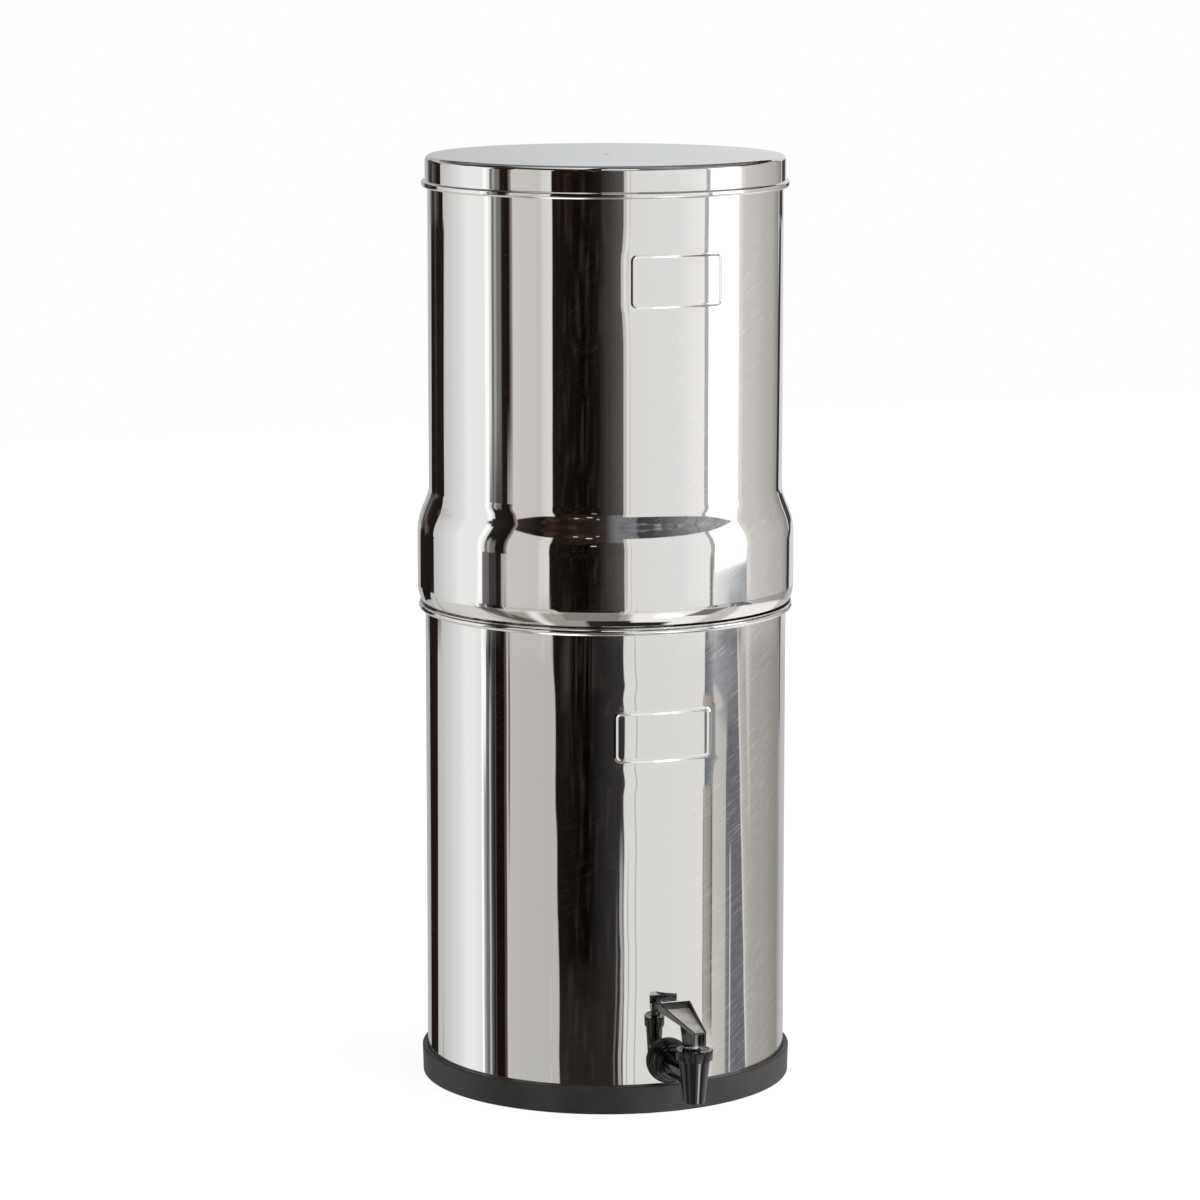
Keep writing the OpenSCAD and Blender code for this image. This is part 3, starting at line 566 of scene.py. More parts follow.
def makeLid():
    size = {"skirt": 138.7, "top": 719.594, "edge": 4.3, "sheet": 0.8, "beadR": 139.75, "bead": 1.85,
            "beadZ": 697.994, "flat": 0.7, "hole": 2.75}
    skirt, top, edge, sheet, hole = (size[k] for k in ("skirt", "top", "edge", "sheet", "hole"))
    high, low = size["beadZ"] + size["flat"], size["beadZ"] - size["flat"]
    reach = math.degrees(math.acos((size["beadR"] - skirt) / size["bead"]))
    beadTop = high + size["bead"] * math.sin(math.radians(reach))
    line = straight((hole, top), (skirt - edge, top), 24.0)
    line += arc(skirt - edge, top - edge, edge, 90, 0, 5)
    line += straight((skirt, top - edge), (skirt, beadTop), 6.0, 0.3)
    line += arc(size["beadR"], high, size["bead"], 180 - reach, 0, 7)
    line += arc(size["beadR"], low, size["bead"], 0, -180, 7)
    line += straight((skirt - sheet, low), (skirt - sheet, top - edge))
    line += arc(skirt - edge, top - edge, edge - sheet, 0, 90, 9)
    line += straight((skirt - edge, top - sheet), (hole, top - sheet), 24.0)
    piece = addPiece("lid", lathe(line, 288), "lid", steel, ["lid"], 30)
    satinInside(piece, skirt - sheet / 2, top - edge - 1, top - sheet / 2, -1)


def roundTheRing(turn, radius=75.0):
    return Matrix.Rotation(math.radians(turn), 4, "Z") @ Matrix.Translation((radius * mm, 0, 0))


tapTurn = Matrix.Translation((0, 0, 39.7 * mm)) @ Matrix.Rotation(math.radians(90), 4, "X")  # lathed along -Y
spoutPlace = Matrix.Translation((0, -195 * mm, 0))
makeLowerChamber()
makeUpperChamber()
makeLid()
print("steel shells made")


def makeBaseRing():
    size = {"inner": 126.3, "seat": 140.3, "foot": 143.6, "outer": 144.2, "floor": 4.0, "top": 21.4}
    line = rounded([
        (size["inner"], 0), (size["foot"], 0, 0.9), (size["outer"], size["top"], 1.1),
        (size["seat"], size["top"], 0.5), (size["seat"], size["floor"], 0.4), (size["inner"], size["floor"], 0.4)])
    addPiece("baseRing", lathe(stepped(line, 8.0, 0.3), 288), "lower", ringRubber, ["base_ring"])


makeBaseRing()
print("base ring made")


def makeThread(tooth, pitch, turns, steps):
    # winds a tooth, given by its (radius, height) corners, upwards round its core
    bm = bmesh.new()
    corners = [bm.verts.new(Vector((r, 0, z)) * mm) for r, z in tooth]
    edges = [bm.edges.new(pair) for pair in zip(corners, corners[1:] + corners[:1])]
    bmesh.ops.spin(bm, geom=corners + edges, cent=(0, 0, 0), axis=(0, 0, 1), angle=math.radians(360 * turns),
                   dvec=Vector((0, 0, pitch / steps)) * mm, steps=turns * steps)
    bmesh.ops.holes_fill(bm, edges=bm.edges[:], sides=4)
    bmesh.ops.recalc_face_normals(bm, faces=bm.faces[:])
    return bm


def makeOuterWasher():
    size = {"inner": 8.2, "outer": 17.3, "edge": 0.5, "tank": 140.0, "back": 138.0, "front": 143.0}
    line = rounded([(size["inner"], size["back"]), (size["outer"], size["back"]),
                    (size["outer"], size["front"], size["edge"]), (size["inner"], size["front"])])
    bm = moved(lathe(line), tapTurn)
    for v in bm.verts:  # its back follows the tank's wall
        if v.co.y / mm > -size["back"] - 0.5:
            v.co.y = -math.sqrt(size["tank"] ** 2 - (v.co.x / mm) ** 2) * mm
    addPiece("tapOuterWasher", bm, "lower", washerRubber, ["tap_outer_washer"])


def makeTapBody():
    size = {
        "flange": [(5.0, 122.2), (7.4, 122.2, 0.4), (7.4, 142.9), (16.5, 142.9), (16.5, 146.0, 1.0),
                   (15.2, 146.0, 0.2), (15.0, 149.0, 1.4), (12.7, 149.0, 0.2), (12.5, 151.0, 1.1),
                   (9.6, 151.0, 0.8), (8.6, 187.5), (5.0, 187.5)],
        "spout": [(6.3, 20.6, 0.35), (8.1, 20.6, 0.45), (12.0, 54.0, 0.5), (11.6, 54.0), (11.6, 59.7, 0.4),
                  (8.0, 59.7), (8.0, 34.0), (5.0, 34.0), (5.0, 31.0), (6.3, 31.0)],
        "tooth": [(7.3, 123.0), (8.0, 123.7), (8.0, 123.9), (7.3, 124.6)], "pitch": 1.8, "turns": 10}
    flange = moved(lathe(rounded(size["flange"]), 128), tapTurn)
    thread = moved(makeThread(size["tooth"], size["pitch"], size["turns"], 40), tapTurn)
    spout = moved(lathe(stepped(rounded(size["spout"]), 6.0, 0.25), 128), spoutPlace)
    addPiece("tapBody", joined(flange, thread, spout), "lower", tapPlastic, ["tap_body"])


def makeBonnet():
    size = {
        "profile": [(11.75, 59.65), (11.75, 54.05), (13.85, 54.05, 0.3), (14.3, 61.7, 0.8), (10.6, 61.7, 0.3),
                    (10.2, 61.35, 0.4), (6.4, 61.35, 0.4), (6.0, 61.7, 0.3), (4.9, 61.7, 0.3),
                    (4.7, 62.7, 0.35), (3.2, 62.7, 0.2), (3.2, 59.65)],
        "notches": 8, "notchHalf": 1.495, "notchDepth": 0.9, "notchedFrom": 12.6}
    bm = lathe(rounded(size["profile"], step=12), 320)
    share = 360 / size["notches"]
    for v in bm.verts:  # grip notches round the edge
        radius = math.hypot(v.co.x, v.co.y) / mm
        turn = (math.degrees(math.atan2(v.co.y, v.co.x)) - share / 2) % share
        off = math.radians(min(turn, share - turn)) * radius / size["notchHalf"]
        if radius > size["notchedFrom"] and off < 1:
            drop = size["notchDepth"] * (0.5 + 0.5 * math.cos(math.pi * off))
            v.co.x *= 1 - drop / radius
            v.co.y *= 1 - drop / radius
    addPiece("tapBonnet", moved(bm, spoutPlace), "lower", tapPlastic, ["tap_bonnet"], 50)


def makeStem():
    profile = [(0, 36.1), (4.6, 36.1, 0.3), (4.6, 38.1, 0.3), (3.1, 38.1), (3.1, 73.6, 0.5), (0, 73.6)]
    bm = moved(lathe(rounded(profile, closed=False), 64, closed=False), spoutPlace)
    addPiece("tapStem", bm, "stem", stemPlastic, ["tap_stem"])


def makeLever():
    size = {"front": -11.5, "back": 43.0, "frontHalf": 5.2, "backHalf": 13.0, "topFront": 7.2, "slope": 11.2,
            "thickFront": 1.5, "thickBack": 6.0, "floor": 1.3, "rim": 1.4, "draft": 0.35, "gap": 6.8, "edge": 0.28,
            "pinY": -195.0, "pinZ": 70.0, "cheekTop": 6.3, "cheekFoot": -3.3, "cheekBack": 17.5,
            "heel": 8.2, "lift": 7.5, "press": 24}
    pin = Vector((0, size["pinY"], size["pinZ"]))
    length = size["back"] - size["front"]

    def halfWidth(y):
        return size["frontHalf"] + (size["backHalf"] - size["frontHalf"]) * (y - size["front"]) / length

    def top(y):
        return size["topFront"] + (y - size["front"]) * math.tan(math.radians(size["slope"]))

    def under(y):
        share = (y - size["front"]) / length
        return top(y) - size["thickFront"] - (size["thickBack"] - size["thickFront"]) * share

    paddle = bmesh.new()
    bmesh.ops.create_grid(paddle, x_segments=3, y_segments=2, size=1.0)
    for v in paddle.verts:  # rim left, recess, rim right, and a rim across the back
        column, row = round((v.co.x + 1) * 1.5), round(v.co.y + 1)
        y = (size["front"], size["back"] - size["rim"], size["back"])[row]
        half = halfWidth(y)
        x = (-half, -half + size["rim"], half - size["rim"], half)[column]
        v.co = Vector((x, y, top(y))) * mm
    recess = min(paddle.faces, key=lambda f: abs(f.calc_center_median().x) + f.calc_center_median().y)
    made = bmesh.ops.extrude_face_region(paddle, geom=[recess])["geom"]
    bmesh.ops.delete(paddle, geom=[recess], context="FACES_ONLY")
    for v in made:
        if isinstance(v, bmesh.types.BMVert):
            y = v.co.y / mm
            v.co.z = (under(y) + size["floor"]) * mm
            v.co.x -= math.copysign(size["draft"] * mm, v.co.x) * (1 if y > 0 else 0.1)
            if y > 0:
                v.co.y -= size["draft"] * 3 * mm
    front = [f for f in paddle.faces if all(abs(v.co.y - size["front"] * mm) < 1e-6 for v in f.verts)]
    bmesh.ops.delete(paddle, geom=front, context="FACES")
    border = [e for e in paddle.edges if e.is_boundary]
    made = bmesh.ops.extrude_edge_only(paddle, edges=border)["geom"]
    for v in made:
        if isinstance(v, bmesh.types.BMVert):
            v.co.z = under(v.co.y / mm) * mm
    bmesh.ops.holes_fill(paddle, edges=[e for e in paddle.edges if e.is_boundary], sides=0)
    bmesh.ops.remove_doubles(paddle, verts=paddle.verts[:], dist=1e-6)
    bmesh.ops.recalc_face_normals(paddle, faces=paddle.faces[:])
    softened(paddle, size["edge"], 3)

    heel = []  # the cam under the pin, which lifts the stem as the lever is pressed
    for i in range(9):
        t = math.radians(size["press"] * i / 8)
        reach, lift = size["heel"] + size["lift"] * t, size["lift"]
        heel.append((lift * math.cos(t) + reach * math.sin(t), lift * math.sin(t) - reach * math.cos(t)))
    outline = [(size["front"], size["cheekTop"]), (size["front"], size["cheekFoot"]), *heel,
               (size["cheekBack"], under(size["cheekBack"]) + 0.6)]
    thickness = (2 * size["frontHalf"] - size["gap"]) / 2
    cheeks = []
    for side in (-1, 1):
        cheek = softened(prism(outline, thickness), 0.3, 2)
        cheeks.append(moved(cheek, Matrix.Translation((side * (size["gap"] + thickness) / 2 * mm, 0, 0))))
    bm = moved(joined(paddle, *cheeks), Matrix.Translation(pin * mm))
    lever = addPiece("tapLever", bm, "lever", leverPlastic, ["tap_lever"])
    lever.data.materials.append(recessPaintedSheen)
    lever.data.materials.append(leverSidesPaintedSheen)
    for face in lever.data.polygons:  # the recess has a grained floor, painted light grey as a sheen of light on the black plastic, and the side faces get a lighter grey copy of the plastic, a painted sheen too
        centre, up = face.center / mm - pin, face.normal
        inset = halfWidth(centre.y) - abs(centre.x)
        if abs(up.x) > 0.75 and inset < size["rim"] * 0.6:
            face.material_index = 2
        if up.z > 0.8 and inset > size["rim"] + 0.3 and centre.z < top(centre.y) - 0.1:
            face.material_index = 1


makeOuterWasher()
makeTapBody()
makeBonnet()
makeStem()
makeLever()
print("tap made")


def makeFilters():
    size = {
        "element": [(0, 373.4), (35.0, 373.4, 0.8), (35.0, 602.4, 6.0), (0, 602.4)],
        "base": [(2.5, 334.594), (5.4, 334.594, 0.5), (5.4, 358.0), (6.0, 358.6), (6.0, 361.394),
                 (32.0, 361.394, 0.6), (36.0, 365.394, 0.8), (36.0, 373.38, 0.8), (2.5, 373.38)],
        "tooth": [(5.3, 335.2), (6.0, 335.8), (6.0, 336.0), (5.3, 336.6)], "pitch": 1.5, "turns": 14,
        "washer": [(6.4, 359.42), (11.0, 359.42, 0.4), (11.0, 361.37, 0.4), (6.4, 361.37)],
        "hub": [(6.05, -8.0), (9.0, -8.0, 0.6), (9.0, -0.02, 0.4), (6.05, -0.02)],
        "wings": [[(6.6, -0.4), (9.0, -0.02), (19.0, -7.5), (19.0, -15.0), (15.8, -15.0), (9.0, -8.0),
                   (6.6, -7.6)],
                  [(-6.6, -7.6), (-9.0, -0.02), (-9.0, -8.0), (-15.8, -15.0), (-19.0, -15.0), (-19.0, -7.5),
                   (-6.6, -0.4)]],
        "wingThick": 3.2, "wingRound": 0.9, "under": 358.594,
        "plug": [(0, 351.6), (6.0, 351.6, 0.8), (7.2, 355.1, 0.5), (7.2, 358.56, 0.2), (6.35, 358.56),
                 (6.35, 359.42), (10.0, 359.42, 0.3), (10.0, 360.9, 0.5), (8.5, 362.394, 0.8), (0, 362.394)]}
    turnWings = Matrix.Translation((0, 0, size["under"] * mm)) @ Matrix.Rotation(math.radians(90), 4, "Z")
    for i in range(4):
        place, plugPlace = roundTheRing(i * 90.0), roundTheRing(i * 90.0 + 45)
        element = lathe(rounded(size["element"], closed=False), closed=False)
        thread = makeThread(size["tooth"], size["pitch"], size["turns"], 32)
        base = joined(lathe(rounded(size["base"])), thread)
        washer = lathe(rounded(size["washer"]), 64)
        wings = [softened(prism(wing, size["wingThick"]), size["wingRound"], 3) for wing in size["wings"]]
        nut = moved(joined(lathe(rounded(size["hub"]), 64), *wings), turnWings)
        plug = lathe(rounded(size["plug"], closed=False), 64, closed=False)
        for name, bm, at, material, slot, replaced in (
                ("filterElement", element, place, filterCarbon, "filter_carbon", "filter_element"),
                ("filterBase", base, place, basePlastic, "base_plastic", "filter_base"),
                ("filterWasher", washer, place, washerRubber, "washer_rubber", "filter_washer"),
                ("wingNut", nut, place, nutPlastic, "tap_plastic", "wing_nut"),
                ("floorPlug", plug, plugPlace, washerRubber, "washer_rubber", "floor_plug")):
            addPiece(f"{name}{i + 1}", moved(bm, at), "upper", material, [f"{replaced}_{i + 1}"])


makeFilters()
keptNodes = {"tap_inner_washer": washerRubber, "tap_shank_nut": nutPlastic, "tap_spring": springSteel,
             "tap_seat_cup": seatSilicone, "tap_lever_pin": springSteel}
for name, material in keptNodes.items():
    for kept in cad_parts[name].material_slots:
        kept.material = material
print("filters made")


def card(start, stop, shade, end=None, **more):
    # a card hung round the object, from start to stop in degrees from the camera, right positive, with heights in
    # degrees above the horizon. It leans about the height of its pivot, and a later card covers an earlier one.
    # Tones are as on screen, level makes it brighter than white, and streaks, patches or cover thin it out.
    return {"from": start, "to": stop, "tone": shade, "end": end or shade, **more}


ceilingCards = [
    card(-200, 200, (40, 36, 34)),
    card(-170, -84, (204, 205, 206), high=22),
    card(-84, -46, (74, 69, 66), (26, 19, 17), edge=3),
    card(-46, -8, (26, 18, 15), (36, 28, 25), edge=3),
    card(-8, 0, (34, 28, 25), (52, 46, 43), edge=2),
    card(0, 8, (52, 46, 43), (116, 119, 120), edge=3),
    card(7, 22, (116, 119, 120), (108, 111, 114), edge=2),
    card(22, 36, (60, 60, 61), (70, 68, 68), edge=4),
    card(36, 64, (72, 71, 72), (138, 139, 142), edge=3),
    card(64, 104, (138, 139, 142), (168, 167, 165)),
    card(103, 172, (196, 193, 190), (206, 208, 210), high=22),
    card(8, 92, (186, 188, 192), low=21, high=38, patches=0.6, edge=3),
    card(8, 92, (44, 43, 44), low=21, high=38, patches=0.6, edge=3),
    card(-62, 0, (74, 58, 50), low=21, high=38, patches=0.5, edge=3),
    card(-12.5, -8.5, (240, 222, 206), low=26.4, high=27.6, edge=1, rise=0.6),
    card(-21, -18, (225, 196, 182), low=28.2, high=29.0, edge=1, rise=0.5),
    card(-6, -4, (220, 196, 182), low=29.5, high=30.1, edge=0.8, rise=0.4),
]
wallCards = [
    card(-176, -165, (187, 189, 191), (178, 178, 179), high=22),
    card(-166, -155, (184, 184, 185), (172, 172, 173), high=22),
    card(-155, -129.6, (40, 34, 31), (26, 21, 19), high=12, rise=1.5, edge=1.2),
    card(-152, -141, (92, 88, 83), high=9, rise=3, streaks=1.0, edge=4),
    card(-160, -140, (120, 116, 108), low=-4.6, high=7, streaks=0.9, edge=8, rise=0.3),
    card(-129.8, -102, (186, 186, 186), (224, 224, 224), high=22),
    card(-166, -157, (180, 180, 181), low=-14, high=-4.4, pivot=-7.5, lean=0.8, rise=0.2),
    card(-157, -130.6, (30, 25, 22), low=-14, high=-4.4, pivot=-7.5, lean=0.8, rise=0.2),
    card(-151, -143, (96, 90, 84), low=-14, high=2, streaks=0.8, edge=3),
    card(-103, -80, (231, 231, 231), (229, 229, 229), high=26.8, tilt=-0.05, edge=4),
    card(-84.2, -80.3, (250, 250, 250), high=24.6, edge=1.0),
    card(-80.5, -64, (40, 37, 37), (22, 17, 15), high=40),
    card(-80.6, -78.3, (232, 232, 232), (204, 203, 202), low=-8.2, high=24.6),
    card(-78.3, -76.6, (108, 106, 104), low=-12, high=10, rise=7, edge=0.8),
    card(-76.6, -74.4, (160, 158, 156), low=-12, high=11, rise=7, edge=0.9),
    card(-74.4, -70.6, (118, 115, 113), (104, 101, 99), low=-12, high=9, rise=7, edge=0.9),
    card(-80.5, -75.6, (112, 111, 111), (98, 96, 95), high=-7.4, rise=1.6),
    card(-75.6, -70, (62, 60, 60), (60, 57, 56), high=-7.4, rise=1.6),
    card(-64.5, -61.8, (62, 50, 44), (160, 148, 140), high=34),
    card(-66.4, -61.4, (150, 144, 140), (190, 187, 184), high=-7.4, rise=1.6, edge=0.6),
    card(-62, -34.2, (198, 195, 192), (190, 188, 184), high=27.2, tilt=-0.09, rise=1.2),
    card(-41.5, -34.2, (204, 203, 202), (214, 213, 211), high=25, edge=2),
    card(-34.2, -11, (27, 21, 18), (5, 4, 3), high=16),
    card(-12, -3, (6, 5, 4), (26, 22, 20), high=18, rise=3, edge=1.5),
    card(-4, 11.6, (24, 21, 19), (88, 84, 83), high=20, rise=3, edge=1.0),
    card(-32, 10, (58, 44, 37), low=-4.6, high=16, streaks=0.22, rise=0.4),
    card(-31, 11, (92, 82, 76), low=-9.4, high=-3.8, rise=0.3, edge=4, patches=0.2),
    card(-9, -5.5, (235, 220, 206), low=13, high=14.2, edge=1, rise=0.6),
    card(11.6, 48, (217, 216, 214), (219, 218, 217), high=25.8, tilt=-0.02, rise=1.2),
    card(46, 67, (219, 218, 217), (232, 230, 228), high=25.2, tilt=-0.04, rise=1.2),
    card(11.6, 13.2, (186, 182, 179), high=25.4),
    card(15.3, 15.9, (188, 186, 185), high=25, edge=0.3),
    card(66.8, 70, (170, 166, 163), high=24.2),
    card(69.8, 95.6, (255, 255, 255), high=23.6, tilt=0.02, level=1.3),
    card(95.6, 101, (224, 220, 216), (200, 197, 194), high=24),
    card(100, 139, (198, 195, 192), (168, 166, 162), high=22),
    card(138, 151, (168, 166, 162), (128, 121, 116), high=22),
    card(150, 177.4, (204, 206, 208), (215, 217, 219), low=-5, high=22),
    card(150.0, 156.6, (46, 42, 39), (56, 53, 51), high=-4.4, rise=0.2, pivot=-6.2, lean=1.3),
    card(156.6, 176.5, (204, 206, 208), (214, 216, 218), high=-4.4, rise=0.2, pivot=-6.2, lean=1.3),
    card(152, 163.6, (66, 63, 61), low=-4.4, high=5, rise=0.2, edge=1),
    card(177.4, 182.6, (215, 217, 219), (188, 190, 192), low=0, high=22),
    card(182.6, 196, (188, 190, 192), (182, 183, 184), low=0, high=22),
]
lowCards = [
    # what the lower chamber sees, from its rim to its foot
    card(-178, -153.6, (190, 191, 192), (166, 166, 167), edge=1),
    card(-153.6, -137, (26, 20, 18), (34, 27, 23), lean=0.6, pivot=-12.4),
    card(-147, -143, (58, 50, 45), streaks=0.9, edge=2),
    card(-137.2, -129, (184, 184, 184), (187, 187, 187), lean=0.6, pivot=-12.4),
    card(-92, -85.6, (228, 228, 228), (219, 219, 220), edge=3),
    card(-85.9, -84.2, (255, 255, 255), edge=0.6),
    card(-84.3, -80.8, (176, 176, 176), (84, 84, 85), edge=0.6),
    card(-81, -73.6, (112, 112, 112), (76, 73, 72), edge=0.8),
    card(-81.4, -74.5, (22, 20, 19), streaks=0.9),
    card(-79.4, -78.2, (196, 194, 192), edge=0.8, high=-10.2, rise=0.8),
    card(-74, -67.5, (20, 14, 12)),
    card(-67.5, -65.6, (80, 66, 58)),
    card(-65.6, -61, (188, 184, 180), edge=0.4),
    card(-64.4, -63.2, (90, 80, 76), edge=0.4, low=-12, rise=1.4),
    card(-62.4, -35, (186, 184, 181), (182, 180, 176), edge=0.6),
    card(-36, -30.6, (182, 180, 176), lean=-0.75, pivot=-13, edge=0.6, wobble=1.2),
    card(-12, 11.4, (4, 3, 3), (52, 50, 50), wobble=1.6, edge=0.7),
    card(-29, 7.5, (40, 35, 31), high=-13.8, cover=0.8, rise=0.8),
    card(-85.9, -82.0, (255, 255, 255), low=-10.9, rise=1.4, edge=0.6),
    card(-27, 6, (86, 78, 73), low=-15.4, high=-9.35, rise=0.3, patches=0.16, edge=4),
    card(-27, -4, (92, 86, 82), low=-10.4, rise=0.5, streaks=0.3, edge=5),
    card(8.6, 10.6, (158, 158, 158), high=-12.2, wobble=2.4, edge=0.5),
    card(5.6, 6.6, (104, 102, 100), high=-12.8, wobble=2.8, edge=0.5),
    card(11.4, 66, (214, 213, 211), (217, 216, 214), wobble=1.6, edge=0.7),
    card(18.4, 19.1, (172, 171, 169), wobble=1.8, edge=0.35),
    card(13.6, 14.1, (150, 149, 148), high=-12.4, wobble=2.2, edge=0.35),
    card(66.4, 96, (232, 232, 231), (150, 152, 154), low=-9.45, high=-8.74, tilt=0.007, rise=0.05),
    card(78, 96, (128, 129, 132), low=-9.6, high=-9.14, rise=0.3, edge=8),
    card(67, 96, (96, 94, 93), low=-9.6, high=-9.32, rise=0.1, edge=3, cover=0.8),
    card(66.4, 68.6, (120, 117, 116), low=-9.45, high=-8.5, rise=0.1, edge=1.2),
    card(66, 74, (98, 100, 105), (148, 150, 153), high=-9.4, rise=0.1),
    card(73.6, 96, (150, 152, 155), (110, 111, 114), high=-9.4, rise=0.1),
    card(83, 93, (104, 106, 110), lean=-0.6, pivot=-12.5, high=-10.7, rise=0.5),
    card(88, 98.6, (102, 101, 104), lean=-1.9, pivot=-12.5, high=-10.4, rise=0.5),
    card(72.6, 83.2, (190, 186, 181), (181, 178, 173), high=-10.35, tilt=-0.02, rise=0.25),
    card(64.9, 72.6, (172, 165, 160), (132, 123, 117), high=-11.1, rise=0.3),
    card(70.9, 72.6, (108, 100, 96), high=-11.4, rise=0.3),
    card(64.9, 65.7, (140, 132, 126), high=-11.6, rise=0.3, edge=0.3),
    card(64.5, 73, (215, 212, 209), (202, 199, 196), high=-14.35, rise=0.35),
    card(83.6, 85.4, (116, 121, 128), high=-12.3, rise=0.3, edge=0.4),
    card(86.6, 87.8, (186, 186, 186), high=-12.2, rise=0.3, edge=0.4),
    card(98.2, 99.8, (206, 206, 205), lean=-1.9, pivot=-12.5, edge=0.7),
    card(99.6, 106, (178, 175, 171), (165, 162, 158), lean=-1.9, pivot=-12.5, edge=1),
    card(105, 145, (165, 162, 158), (138, 135, 131), edge=4),
    card(143, 152, (134, 130, 126), (168, 168, 167), edge=2),
    card(151, 186, (176, 176, 176), (198, 200, 202), edge=2),
    card(148.0, 150.2, (58, 58, 60), low=-10.6, rise=0.4),
]
tableCards = [
    # what the bell's roll, the base ring and the tap see below the lower chamber's view
    card(-200, 200, (196, 193, 190), cover=0.75),
    card(-66, 34, (146, 144, 136), low=-62, high=-20, edge=12, rise=3, cover=0.85),
    card(-101, -84, (64, 56, 51), lean=-0.8, low=-46, edge=6, cover=0.85),
    card(-27, 9, (122, 116, 110), low=-38, edge=3, cover=0.8),
    card(16, 72, (236, 234, 231), low=-52, high=-17, edge=6, rise=3),
    card(74, 92, (84, 80, 78), lean=0.7, low=-30, edge=4, cover=0.9),
    card(80, 88, (200, 196, 193), low=-30, high=-18, edge=3, streaks=0.9),
    card(92, 140, (236, 234, 231), low=-52, high=-17, edge=6, rise=3),
    card(-14, 18, (38, 34, 31), low=-70, high=-39, edge=4, rise=3),
    card(14, 48, (30, 27, 25), low=-58, high=-44, edge=5, rise=3),
    card(32, 47, (255, 255, 255), low=-34, high=-19, edge=6, rise=5),
    card(34, 50, (255, 255, 255), low=-28.6, high=-26, edge=4, rise=0.8, level=7.0),
    card(-50, -42, (226, 224, 221), low=-60, high=-17, edge=5, rise=4),
    card(-120, -88, (60, 54, 50), low=-95, high=-62, rise=6, edge=8),
    card(-84, -40, (255, 255, 255), low=-82, high=-63, rise=5, edge=8, level=3.0),
    card(96, 176, (16, 14, 13), low=-95, high=-56, rise=4, edge=6),
]
lampCards = [
    # soft boxes overhead, which only edges, tops and rounded parts see
    card(114, 200, (110, 108, 105), low=34, high=89, edge=14, rise=8),
    card(-200, -118, (116, 114, 111), low=34, high=89, edge=14, rise=8),
    card(-114, -19.5, (168, 166, 162), (240, 238, 234), low=57, high=86, rise=3),
    card(-3, 26, (255, 255, 255), low=42, high=55, level=1.15, rise=2),
    card(26, 160, (134, 130, 126), (100, 96, 92), low=42, high=60, rise=3, cover=0.8),
    card(80, 130, (226, 214, 204), low=37, high=39, streaks=0.8),
    card(-165, -120, (150, 146, 141), low=12, high=30, edge=12, rise=6, cover=0.5),
]
studio = {"edge": 0.5, "rise": 0.8, "pole": 86.0, "distance": 200.0, "step": 0.5, "cameraAzimuth": -20.0,
          "strength": 1.05, "plain": 0.52, "window": (0.78, -0.61, 0.14), "windowEdge": 0.45, "windowLevel": 3.8,
          "across": 4.0, "fineAcross": 0.4, "up": 3.0, "patchUp": 0.5, "lowPatchUp": 0.1, "streakUp": 0.25}
cardTops = {"ceilingCards": (ceilingCards, 95), "wallCards": (wallCards, 60), "lowCards": (lowCards, -9.35),
            "tableCards": (tableCards, -16.0), "lampCards": (lampCards, 95)}


def cardStops(low, high, softness, run):
    # places across a card: its soft edges, and even steps between them
    count = max(1, math.ceil((high - low - softness) / run))
    even = [low + softness / 2 + (high - low - softness) * i / count for i in range(count + 1)]
    return [low - softness / 2, *even, high + softness / 2]


def cloudy(place, rough, gap, octaves, gain, lift=0.0):
    # a soft cover between 0 and 1
    return min(max(noise.fractal(Vector(place), rough, gap, octaves) * gain + lift, 0), 1)


